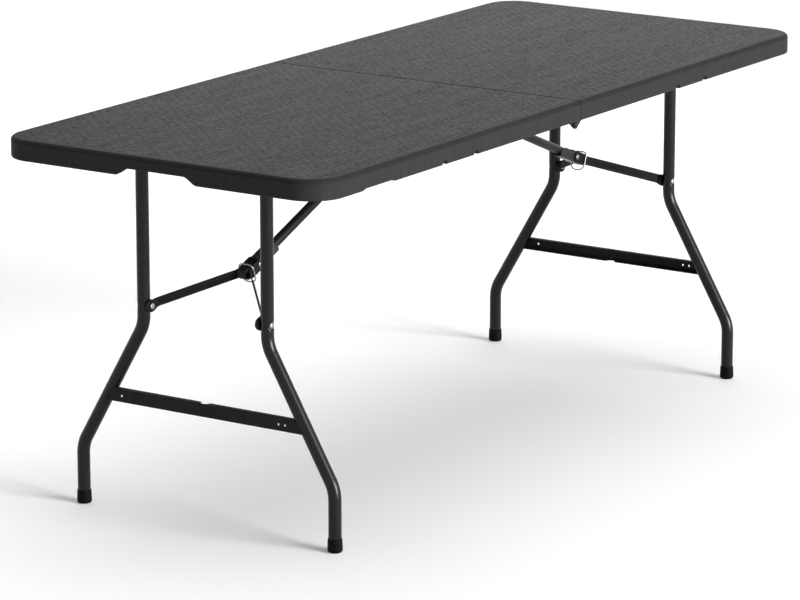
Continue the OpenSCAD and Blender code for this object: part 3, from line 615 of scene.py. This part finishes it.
def leaf_outline(length, foot):
    """A leaf seen from the side: a plate that hooks down to a round knuckle about the fold."""
    a = np.radians(np.linspace(95, 305, 24))
    knuckle = KNUCKLE_R * np.stack([np.cos(a), np.sin(a)], -1) + [0, FOLD_Z]
    tip = rounded_path([(LEAF_ROOT[1] - 0.5, LEAF_FOOT - 1), (length, LEAF_FOOT), (length, LEAF_TOP),
                        (LEAF_GAP, LEAF_TOP), (LEAF_GAP, LEAF_FOOT + 1)], (0, foot, foot, 1, 0))
    return np.concatenate([knuckle, tip])


left_leaf = [prism(leaf_outline(LEAF_L, 3), LEAF_Y, web, 1, 0.3)]
right_leaf = [prism(leaf_outline(LEAF_ROOT[1], 0), web + CLEAR, INNER_SIDE, 1, 0.3),
              block((LEAF_ROOT[0], LEAF_Y, LEAF_FOOT), (LEAF_L, web, LEAF_TOP), 0.4),
              block((LEAF_ROOT[0], LEAF_Y, LEAF_FOOT), (LEAF_ROOT[1], INNER_SIDE, LEAF_TOP), 0.4)]
leaf_rivets = [shell for x, z in LEAF_RIVETS for shell in (
    head((x, LEAF_Y, z), (0, -1, 0), HEAD_R, HEAD_T),
    rod((x, LEAF_Y, z), (x, INNER_SIDE, z), SCREW_R))]
pin_end = INNER_SIDE + CLEAR
pin = [rod((0, LEAF_Y, FOLD_Z), (0, pin_end, FOLD_Z), PIN_R),
       head((0, LEAF_Y, FOLD_Z), (0, -1, 0), PIN_HEAD_R, HEAD_T),
       head((0, pin_end, FOLD_Z), (0, 1, 0), PIN_HEAD_R, HEAD_T)]
for half, side in HALVES:
    shape = left_leaf if side < 0 else right_leaf
    for edge_name, edge in EDGES:
        piece(f"{half}_{edge_name}_hinge_leaf", mirrored(shape, side, edge), coat, f"{half}_half",
              "black_coat", f"{half}_{edge_name}_leaf")
    both = mirrored(leaf_rivets, side) + mirrored(leaf_rivets, side, -1)
    piece(f"{half}_hinge_rivets", both, zinc, f"{half}_half", "bright_steel", f"{half}_leaf_rivets")
piece("hinge_pins", pin + mirrored(pin, 1, -1), coat, "left_half", "bright_steel", "fold_pins")

# Carrying handle
# A moulded plastic loop tucked up under the left half's front edge. Its arms turn on two
# studs of a bracket screwed up under the rail, and swing out through the skirt's notches.

HANDLE = np.array([-437, -344, 703.2])
HANDLE_ARM_X = 55
HANDLE_REACH = 52
HANDLE_BEND = 14
HANDLE_T, HANDLE_ROUND = 6.4, 2.4
ARM_W, GRIP_W = 13, 16
GRIP_BLEND = 16
PLATE_T, EAR_T = 3, 5
STUD_R = 1.8


def black_plastic(name, code, roughness, specular):
    """Black moulded plastic. Its fine grain spreads the light that it mirrors."""
    material, tree, shader = surface(name, roughness=roughness, specular_ior_level=specular)
    shader.inputs["Base Color"].default_value = colour(code)
    bump(tree, shader, object_noise(tree, 1100), 0.3, 0.00015)
    return material


moulded = [black_plastic("moulded_black", "#121212", 0.5, 0.2)]
loop = rounded_path([(-HANDLE_ARM_X, 0, 0), (-HANDLE_ARM_X, HANDLE_REACH, 0),
                     (HANDLE_ARM_X, HANDLE_REACH, 0), (HANDLE_ARM_X, 0, 0)], HANDLE_BEND, 12)
grip_share = smooth_step(loop[:, 1], HANDLE_REACH - GRIP_BLEND, HANDLE_REACH)
loop_width = ARM_W + (GRIP_W - ARM_W) * grip_share
loop_section = [rounded_outline(HANDLE_T, width, HANDLE_ROUND) for width in loop_width]
handle = [sweep(np.array(loop_section), loop, (0, 0, 1))]
handle += [rod((x - ARM_W / 2, 0, 0), (x + ARM_W / 2, 0, 0), HANDLE_T / 2, 0.8)
           for x in (-HANDLE_ARM_X, HANDLE_ARM_X)]
handle = [(points + HANDLE, faces) for points, faces in handle]
piece("handle_loop", handle, moulded, "handle", "black_plastic", "carry_handle")

bracket_low, bracket_high = node_box("handle_bracket")
ear_x, ear_top = HANDLE_ARM_X - ARM_W / 2 - CLEAR, flange_z - 2
bracket = [block((HANDLE[0] - ear_x, bracket_low[1], flange_z - PLATE_T),
                 (HANDLE[0] + ear_x, bracket_high[1], flange_z), 1)]
round_foot = circle(HANDLE_T / 2)[16:] + HANDLE[1:]
ear_shape = np.concatenate([round_foot, [[HANDLE[1] + HANDLE_T / 2, ear_top],
                                         [HANDLE[1] - HANDLE_T / 2, ear_top]]])
for sign in (-1, 1):
    ear = sorted((HANDLE[0] + sign * ear_x, HANDLE[0] + sign * (ear_x - EAR_T)))
    bracket += [prism(ear_shape, *ear, 0, 0.5),
                rod((HANDLE[0] + sign * (ear_x - 2), *HANDLE[1:]),
                    (HANDLE[0] + sign * (ear_x + ARM_W / 2), *HANDLE[1:]), STUD_R)]
piece("handle_studs", bracket, moulded, "left_half", "black_plastic", "handle_bracket")

# Cross tubes
# Each leg frame hangs on a black steel tube across its half, whose thinner journals turn in
# the rails. A rod nearer the seam carries the brace.

LEG_X = 748
PIVOT_Z = 710
AXLE_R, JOURNAL_R = 11, 6
AXLE_END = web - CLEAR
JOURNAL_END = INNER_SIDE - CLEAR
ANCHOR_X = 22
ANCHOR_R = 5

cross_tube = [rod((LEG_X, -AXLE_END, PIVOT_Z), (LEG_X, AXLE_END, PIVOT_Z), AXLE_R, 1),
              rod((LEG_X, -JOURNAL_END, PIVOT_Z), (LEG_X, JOURNAL_END, PIVOT_Z), JOURNAL_R)]
anchor = [rod((ANCHOR_X, -JOURNAL_END, PIVOT_Z), (ANCHOR_X, JOURNAL_END, PIVOT_Z), ANCHOR_R)]
for half, side in HALVES:
    piece(f"{half}_cross_tube", mirrored(cross_tube, side), coat, f"{half}_legs", "black_coat",
          f"{half}_axle")
    piece(f"{half}_brace_rod", mirrored(anchor, side), coat, f"{half}_half", "black_coat",
          f"{half}_anchor_rod")

# Legs
# Two bent tubes to each frame, welded to the cross tube. Each is dished on its outer side
# where the brace's rivet is headed.

LEG_R = 12.5
LEG_TOP_Y, LEG_FOOT_Y = 143, 293
LEG_END_Z, LOWER_BEND_Z, UPPER_BEND_Z = 4, 119, 377
BEND_R = 70
BRACE_Z = 415
DISH = 3
DISH_R = 8
DISH_REACH = 1.4 * DISH_R

line = rounded_path([(LEG_X, LEG_FOOT_Y, LEG_END_Z), (LEG_X, LEG_FOOT_Y, LOWER_BEND_Z),
                     (LEG_X, LEG_TOP_Y, UPPER_BEND_Z), (LEG_X, LEG_TOP_Y, PIVOT_Z)], BEND_R, 14)
near_rivet = np.linspace(BRACE_Z - DISH_REACH, BRACE_Z + DISH_REACH, 25)
dished = np.stack([np.full_like(near_rivet, LEG_X), np.full_like(near_rivet, LEG_TOP_Y), near_rivet], -1)
line = np.concatenate([line[:-1], dished, line[-1:]])
# A ring's points near the rivet go in by DISH * exp(-r^4), r being the distance in dish radii.
leg_rings = np.repeat(circle(LEG_R, 48)[None], len(line), 0)
from_rivet = np.hypot(leg_rings[..., 0], line[:, 2:] - BRACE_Z) / DISH_R
leg_rings[..., 1] -= DISH * np.exp(-from_rivet ** 4) * (leg_rings[..., 1] > 0)
leg = [sweep(leg_rings, line, (1, 0, 0))]
for half, side in HALVES:
    for edge_name, edge in EDGES:
        piece(f"{half}_{edge_name}_leg_tube", mirrored(leg, side, edge), coat, f"{half}_legs",
              "black_coat", f"{half}_{edge_name}_leg")

# Foot caps
# A black moulded cap pushed on to each leg's lower end, with a rounded sole and a soft lip
# round its mouth.

FOOT_R = 14.5
FOOT_H = 27
FOOT_DRAFT = 0.7
SOLE_ROUND = 5
MOUTH = 1

turn = np.radians(np.linspace(0, 90, 9))
sole = zip(SOLE_ROUND * (1 - np.cos(turn)), FOOT_R - SOLE_ROUND * (1 - np.sin(turn)))
mouth = zip(FOOT_H - MOUTH * (1 - np.sin(turn)), FOOT_R - FOOT_DRAFT - MOUTH * (1 - np.cos(turn)))
inside = (FOOT_H - 0.2, LEG_R - 0.5)
foot = [turned((LEG_X, LEG_FOOT_Y, 0), (0, 0, 1), [*sole, *mouth, inside], 48)]
# Softer than the other mouldings, so it looks duller and deeper black.
foot_plastic = [black_plastic("foot_plastic", "#070707", 0.5, 0.06)]
for half, side in HALVES:
    for edge_name, edge in EDGES:
        piece(f"{half}_{edge_name}_foot_cap", mirrored(foot, side, edge), foot_plastic, f"{half}_legs",
              "black_plastic", f"{half}_{edge_name}_foot")

# Crossbars
# A pressed steel channel welded between the slanted lengths of the legs, open inwards. Its
# flanges have a round notch in the middle, where the brace lies when folded.

BAR_X = 760.5
BAR_D = 13
BAR_LOW, BAR_HIGH = 218.5, 244.5
BAR_T = 1.5
BAR_BEND = 2.5
BAR_END_IN = 3
BAR_NOTCH = 10.3
BAR_HOLE_R = 2.25
BAR_HOLES = (-189.6, -174.6, 189.6)
PATCH = 3.6
PRESSED = 0.02
SLANT = (LEG_FOOT_Y - LEG_TOP_Y) / (UPPER_BEND_Z - LOWER_BEND_Z)

lips, web_in = BAR_X - BAR_D, BAR_X - BAR_T
channel = np.concatenate([
    rounded_path([(lips, BAR_LOW), (BAR_X, BAR_LOW), (BAR_X, BAR_HIGH), (lips, BAR_HIGH)], BAR_BEND, 5),
    rounded_path([(lips, BAR_HIGH - BAR_T), (web_in, BAR_HIGH - BAR_T), (web_in, BAR_LOW + BAR_T),
                  (lips, BAR_LOW + BAR_T)], BAR_BEND - BAR_T, 5)])
bar_middle = (BAR_LOW + BAR_HIGH) / 2
end_y = LEG_TOP_Y - BAR_END_IN + (UPPER_BEND_Z - channel[:, 1]) * SLANT


def bar_length(y0, y1, shape=channel):
    """A straight length of the channel. An end given as None is cut along the leg."""
    ends = [np.broadcast_to(sign * end_y if y is None else y, len(shape)) for y, sign in ((y0, -1), (y1, 1))]
    return loft([np.stack([shape[:, 0], y, shape[:, 1]], -1) for y in ends])


def notched_section(y, depth):
    """The channel at y with its flanges cut down to the depth: what lies beyond is pressed
    together at the cut, to a share of its length."""
    x, cut = channel[:, 0], BAR_X - depth
    x = np.where(x < cut, cut + PRESSED * (x - cut), x)
    return np.stack([x, np.full(len(x), y), channel[:, 1]], -1)


def holed_plate(y):
    """The square of the web round a hole: its outer and inner faces and both rims."""
    turn = circle(1)
    square = turn / abs(turn).max(1)[:, None] * PATCH
    rings = ((square, BAR_X), (turn * BAR_HOLE_R, BAR_X), (turn * BAR_HOLE_R, web_in), (square, web_in))
    return loft([np.insert(ring + [y, bar_middle], 0, x, axis=1) for ring, x in rings], True)


notch_y = BAR_NOTCH * np.sin(np.linspace(-math.pi / 2, math.pi / 2, 17))
notch_depth = BAR_X - LEG_X - np.sqrt(BAR_NOTCH ** 2 - notch_y ** 2)
stops = sorted([-BAR_NOTCH, BAR_NOTCH, *(y + sign * PATCH for y in BAR_HOLES for sign in (-1, 1))])
bar = [loft([notched_section(y, depth) for y, depth in zip(notch_y, notch_depth)])]
bar += [bar_length(y0, y1) for y0, y1 in zip([None, *stops[1::2]], [*stops[::2], None])]
patch_top = bar_middle + PATCH
upper = channel[channel[:, 1] > patch_top]
upper = np.concatenate([[[BAR_X, patch_top]], upper, [[web_in, patch_top]]])
for y in BAR_HOLES:
    bar += [holed_plate(y), bar_length(y - PATCH, y + PATCH, upper),
            bar_length(y - PATCH, y + PATCH, upper * [1, -1] + [0, 2 * bar_middle])]
# The pressing is coated too, matt, and drawn a lighter grey than the tubes: painted light on its flat web.
painted_lit_bar_coat = [coated_steel("pressed_bar_painted_lit_coat", "#2d2e2e", "#282929", 0.6, 0.02)]
for half, side in HALVES:
    piece(f"{half}_cross_channel", mirrored(bar, side), painted_lit_bar_coat, f"{half}_legs", "black_coat",
          f"{half}_crossbar")

# Leg rivets
# Bright steel rivets through the legs, which carry the ends of the fork's arms. Their outer
# heads sit in the dished places.

RIVET_R, RIVET_HEAD_R, RIVET_HEAD_T = 3, 6, 2.4

dish_floor = LEG_TOP_Y + LEG_R - DISH
leg_rivet = [rod((LEG_X, LEG_TOP_Y - LEG_R + CLEAR, BRACE_Z), (LEG_X, dish_floor, BRACE_Z), RIVET_R),
             head((LEG_X, dish_floor, BRACE_Z), (0, 1, 0), RIVET_HEAD_R, RIVET_HEAD_T)]
for half, side in HALVES:
    piece(f"{half}_outer_rivets", mirrored(leg_rivet, side) + mirrored(leg_rivet, side, -1), zinc,
          f"{half}_legs", "bright_steel", f"{half}_leg_rivets")

# Brace links
# A straight black tube runs from a bush on the anchor rod down to the knee. A folded steel
# channel and a moulded tongue are riveted round its lower end.

KNEE = (584.648, 481.376)
TILT = math.radians(22.1137)
LINK_L = 607.323
LINK_R = 9.5
BUSH_R, BUSH_L = 8.5, 44
TUBE_SHORT = 20
CHEEK_T, CHEEK_BEND = 1.5, 4
CHEEK_LOW, CHEEK_HIGH = -12.8, 9
CHEEK_BACK, CHEEK_FRONT = -66, 17
TONGUE_FRONT = 47
TONGUE_NOSE = 13
TONGUE_H = 12.8
LUG_BACK, LUG_FRONT, LUG_Y = -11, 1, 5.7


def on_brace(shells):
    """Carries shells drawn along the brace (s from the knee, y, height) to their place."""
    cos, sin = math.cos(TILT), math.sin(TILT)
    turn = np.array([[cos, 0, -sin], [0, 1, 0], [sin, 0, cos]])
    return [(np.asarray(shell[0]) @ turn + [KNEE[0], 0, KNEE[1]], *shell[1:]) for shell in shells]


link = on_brace([rod((-LINK_L, 0, 0), (-TUBE_SHORT, 0, 0), LINK_R, 0.6, 40)])
bush = on_brace([rod((-LINK_L, -BUSH_L / 2, 0), (-LINK_L, BUSH_L / 2, 0), BUSH_R, 0.8)])
cheek_y, floor_h = LINK_R + CHEEK_T, CHEEK_LOW + CHEEK_T
# The cheeks' upper edge climbs from the back in a curve, and is rounded off at the front.
cheek_edge = ((CHEEK_BACK, -3), (CHEEK_BACK + 1, -1), (CHEEK_BACK + 5, 3), (CHEEK_BACK + 9, 6.4),
              (CHEEK_BACK + 13, CHEEK_HIGH), (CHEEK_FRONT - 3, CHEEK_HIGH),
              (CHEEK_FRONT - 0.8, CHEEK_HIGH - 0.8), (CHEEK_FRONT, CHEEK_HIGH - 3))
cheek_rings = []
for s, top_h in cheek_edge:
    outer = [(-cheek_y, top_h), (-cheek_y, CHEEK_LOW), (cheek_y, CHEEK_LOW), (cheek_y, top_h)]
    inner = [(LINK_R, top_h), (LINK_R, floor_h), (-LINK_R, floor_h), (-LINK_R, top_h)]
    ring = [rounded_path(outer, CHEEK_BEND, 6), rounded_path(inner, CHEEK_BEND - CHEEK_T, 6)]
    cheek_rings.append(np.insert(np.concatenate(ring), 0, s, axis=1))
cheeks = on_brace([loft(cheek_rings)])
turn = np.radians(np.linspace(-90, 90, 17))
nose = np.stack([TONGUE_FRONT - TONGUE_NOSE * (1 - np.cos(turn)),
                 (TONGUE_H + floor_h) / 2 + (TONGUE_H - floor_h) / 2 * np.sin(turn)], -1)
step = CHEEK_FRONT + CLEAR
tongue_side = np.concatenate([
    [(-TUBE_SHORT, floor_h)], nose,
    [(step + 1, TONGUE_H), (step, TONGUE_H - 1), (step, CHEEK_HIGH), (-TUBE_SHORT, CHEEK_HIGH)]])
lug = block((LUG_BACK, -LUG_Y, 0), (LUG_FRONT, LUG_Y, TONGUE_H), 1.2)
tongue = on_brace([prism(tongue_side, -LINK_R, LINK_R, 1, 1), lug])
# The folded channel is drawn a lighter grey than the legs, which is painted light on its flat faces, and the
# tube is more satin.
painted_lit_channel_coat = [coated_steel("brace_painted_lit_coat", "#1f2122", "#1a1c1d", 0.28)]
tube_coat = [coated_steel("satin_coat", "#151616", "#111212", 0.42, 0.12)]
for half, side in HALVES:
    body = f"{half}_link"
    piece(f"{half}_brace_tube", mirrored(link, side), tube_coat, body, "black_coat",
          f"{half}_link_tube")
    piece(f"{half}_brace_bush", mirrored(bush, side), coat, body, "black_coat",
          f"{half}_link_bush")
    piece(f"{half}_brace_channel", mirrored(cheeks, side), painted_lit_channel_coat, body, "black_coat",
          f"{half}_link_channel")
    piece(f"{half}_brace_tongue", mirrored(tongue, side), moulded, body, "black_plastic",
          f"{half}_link_tongue")

# Fork arms
# Two pressed steel strips spread from the knee to the legs, each stiffened by a rib along
# its middle. Moulded spacers hold them off the legs, and a rivet goes through each joint.

FORK_L = 176.323
ARM_Y, ARM_T = 11.3, 2
ARM_END_Y = 124
ROOT_L, TIP_L = 36, 13
ROOT_R, TIP_R = 11.5, 11
STRIP_H = 9.5
STRIP_BEND = 12
STRIP_ROUND = 0.5
ROOT_TAPER, TIP_TAPER = (26, 42), (4, 16)
RIB_OUT, RIB_FLAT, RIB_HALF = 2.2, 1.02, 3.4
RIB_FROM, RIB_TO, RIB_FADE = 52, 178, 12
SPACER_R, SPACER_T = 12.5, 6.2
KNEE_RIVET_R = 4
KNEE_HEAD_T = 1.2

bent = rounded_path([(-ROOT_R, ARM_Y), (ROOT_L, ARM_Y), (FORK_L - TIP_L, ARM_END_Y - ARM_T),
                     (FORK_L + TIP_R, ARM_END_Y - ARM_T)], STRIP_BEND)
span = np.r_[0, np.cumsum(np.linalg.norm(np.diff(bent, axis=0), axis=1))]
turn = np.linspace(0, math.pi / 2, 13)
stations = np.r_[ROOT_R * (1 - np.cos(turn[:-1])), np.linspace(ROOT_R, span[-1] - TIP_R, 90),
                 span[-1] - TIP_R + TIP_R * np.sin(turn[1:])]
arm_line = np.stack([np.interp(stations, span, column) for column in (*bent.T, 0 * span)], -1)
from_root, from_tip = stations - ROOT_R, span[-1] - TIP_R - stations
# Half the strip's height: wider at the root and the tip, whose ends are half circles.
arm_half = STRIP_H + (ROOT_R - STRIP_H) * (1 - smooth_step(from_root, *ROOT_TAPER)) \
    + (TIP_R - STRIP_H) * (1 - smooth_step(from_tip, *TIP_TAPER))
for beyond, radius in ((from_root, ROOT_R), (from_tip, TIP_R)):
    arm_half = np.where(beyond < 0, np.sqrt(np.maximum(radius ** 2 - beyond ** 2, 0.2)), arm_half)
# The rib swells out where it is full, and fades at both its ends. The outer edges are broken.
rib_share = smooth_step(from_root, RIB_FROM, RIB_FROM + RIB_FADE) \
    * (1 - smooth_step(from_root, RIB_TO - RIB_FADE, RIB_TO))
across = np.linspace(-1, 1, 21)
arm_height = arm_half[:, None] * across
bulge = RIB_OUT * rib_share[:, None] * (1 - smooth_step(abs(arm_height), RIB_FLAT, RIB_HALF))
broken = STRIP_ROUND * np.clip(10 * abs(across) - 9, 0, 1)
outer_face = np.stack([arm_height, broken - ARM_T - bulge], -1)
inner_face = np.stack([arm_height, -bulge], -1)[:, ::-1]
arm = on_brace([sweep(np.concatenate([outer_face, inner_face], 1), arm_line, (0, 0, 1))])
spacer = on_brace([rod((FORK_L, ARM_END_Y, 0), (FORK_L, ARM_END_Y + SPACER_T, 0), SPACER_R, 1.5, 40)])
arm_rivet = on_brace([
    rod((FORK_L, ARM_END_Y - ARM_T, 0), (FORK_L, ARM_END_Y + SPACER_T, 0), RIVET_R),
    head((FORK_L, ARM_END_Y - ARM_T, 0), (0, -1, 0), RIVET_HEAD_R, HEAD_T)])
knee_end = ARM_Y + ARM_T
knee_rivet = on_brace([rod((0, -knee_end, 0), (0, knee_end, 0), KNEE_RIVET_R)] + [
    head((0, sign * knee_end, 0), (0, sign, 0), KNEE_RIVET_R + KNEE_HEAD_T, KNEE_HEAD_T)
    for sign in (-1, 1)])
# Pressed strips look matt, like the crossbars.
strip_coat = [coated_steel("strip_coat", "#1c1d1d", "#181919", 0.6, 0.03)]
for half, side in HALVES:
    body = f"{half}_fork"
    for edge_name, edge in EDGES:
        piece(f"{half}_{edge_name}_fork_strip", mirrored(arm, side, edge), strip_coat, body,
              "black_coat", f"{half}_{edge_name}_arm")
    piece(f"{half}_fork_spacers", mirrored(spacer, side) + mirrored(spacer, side, -1), moulded, body,
          "black_plastic", f"{half}_spacers")
    piece(f"{half}_inner_rivets", mirrored(arm_rivet, side) + mirrored(arm_rivet, side, -1), zinc, body,
          "bright_steel", f"{half}_arm_rivets")
    piece(f"{half}_knee_pin", mirrored(knee_rivet, side), zinc, body, "bright_steel", f"{half}_knee_rivet")

# Lock rings
# A loop of bright zinc-plated wire hangs round the tongue and the fork's roots, and keeps the
# knee straight until it is slid off by hand.

RING_S = 28
RING_Y = 14.9
RING_HIGH, RING_LOW = 15, 22
RING_BENDS = (9, 9, 14, 14)
WIRE_R = 1.4

wire_y, wire_high, wire_low = RING_Y + WIRE_R, RING_HIGH + WIRE_R, -RING_LOW - WIRE_R
ring_line = rounded_path([(RING_S, wire_y, wire_high), (RING_S, -wire_y, wire_high),
                          (RING_S, -wire_y, wire_low), (RING_S, wire_y, wire_low)], RING_BENDS, 12, True)
ring = on_brace([sweep(circle(WIRE_R, 16), ring_line, (1, 0, 0), True)])
for half, side in HALVES:
    piece(f"{half}_wire_ring", mirrored(ring, side), zinc, f"{half}_ring", "bright_steel",
          f"{half}_lock_ring")

# Studio
# A pale floor, a high soft light, a key light from the front, a faint panel behind the far
# end that brightens the top there, and a camera where the photograph was taken from.

FLOOR_REACH = 30
FLOOR_GLOW = 0.12
SKY_LIGHT = 0.1
CAMERA_PLACE = (-7.0302, -4.5689, 2.3754)
CAMERA_DIP, CAMERA_HEADING = 0.244, 0.5817


def background_strength(tree, lighting, shown):
    """One strength for rays that light the object, and another for rays that show what is
    behind it: from the camera, off gloss or through glass."""
    rays = add(tree, "LightPath").outputs
    seen = add(tree, "Math", {0: rays["Is Camera Ray"], 1: rays["Is Glossy Ray"]}, operation="MAXIMUM")
    seen = add(tree, "Math", {0: seen.outputs[0], 1: rays["Is Transmission Ray"]}, operation="MAXIMUM")
    return add(tree, "Mix", {"Factor": seen.outputs[0], "A": lighting, "B": shown}).outputs["Result"]


floor_mesh = bpy.data.meshes.new("floor")
floor_corners = FLOOR_REACH * np.array([(-1, -1, 0), (1, -1, 0), (1, 1, 0), (-1, 1, 0)], float)
floor_mesh.from_pydata(floor_corners, [], [(0, 1, 2, 3)])
floor_material, floor_tree, floor_shader = surface("pale_floor", roughness=0.9, specular_ior_level=0.1)
floor_shader.inputs["Base Color"].default_value = colour("#f6f6f5")
floor_tree.links.new(background_strength(floor_tree, 0.0, FLOOR_GLOW),
                     floor_shader.inputs["Emission Strength"])
floor_mesh.materials.append(floor_material)
floor = bpy.data.objects.new("floor", floor_mesh)
bpy.context.scene.collection.objects.link(floor)


def sun(name, strength, softness, tilt, heading):
    """A distant light. It stands tilt degrees off the zenith, towards a heading from +X."""
    data = bpy.data.lights.new(name, "SUN")
    data.energy, data.angle = strength, math.radians(softness)
    light = bpy.data.objects.new(name, data)
    light.rotation_euler = Euler((0, math.radians(tilt), math.radians(heading)))
    bpy.context.scene.collection.objects.link(light)


sun("overhead", 1.3, 60, 8, 0)
sun("key", 6, 30, 76, -90)

panel = bpy.data.lights.new("back_panel", "AREA")
panel.shape, panel.size, panel.size_y = "RECTANGLE", 3, 1.2
panel.energy = 28
back_panel = bpy.data.objects.new("back_panel", panel)
back_panel.location = (3.4, 1.9, 1.5)
back_panel.rotation_euler = Euler((math.radians(80), 0, math.radians(119)))
back_panel.visible_camera = False
bpy.context.scene.collection.objects.link(back_panel)

world = bpy.data.worlds.new("studio")
world.use_nodes = True
bpy.context.scene.world = world
sky = world.node_tree
sky.links.new(background_strength(sky, SKY_LIGHT, 1.0), sky.nodes["Background"].inputs["Strength"])
sky.nodes["Background"].inputs["Color"].default_value = colour("#ffffff")

camera_data = bpy.data.cameras.new("camera")
camera_data.lens, camera_data.sensor_width = 192.0, 36
camera = bpy.data.objects.new("camera", camera_data)
camera.location = CAMERA_PLACE
# It looks below the horizon by the dip, towards a heading from +X, both in radians.
camera.rotation_euler = Euler((math.pi / 2 - CAMERA_DIP, 0, CAMERA_HEADING - math.pi / 2))
bpy.context.scene.collection.objects.link(camera)
bpy.context.scene.camera = camera
bpy.context.scene.view_settings.view_transform = "Standard"
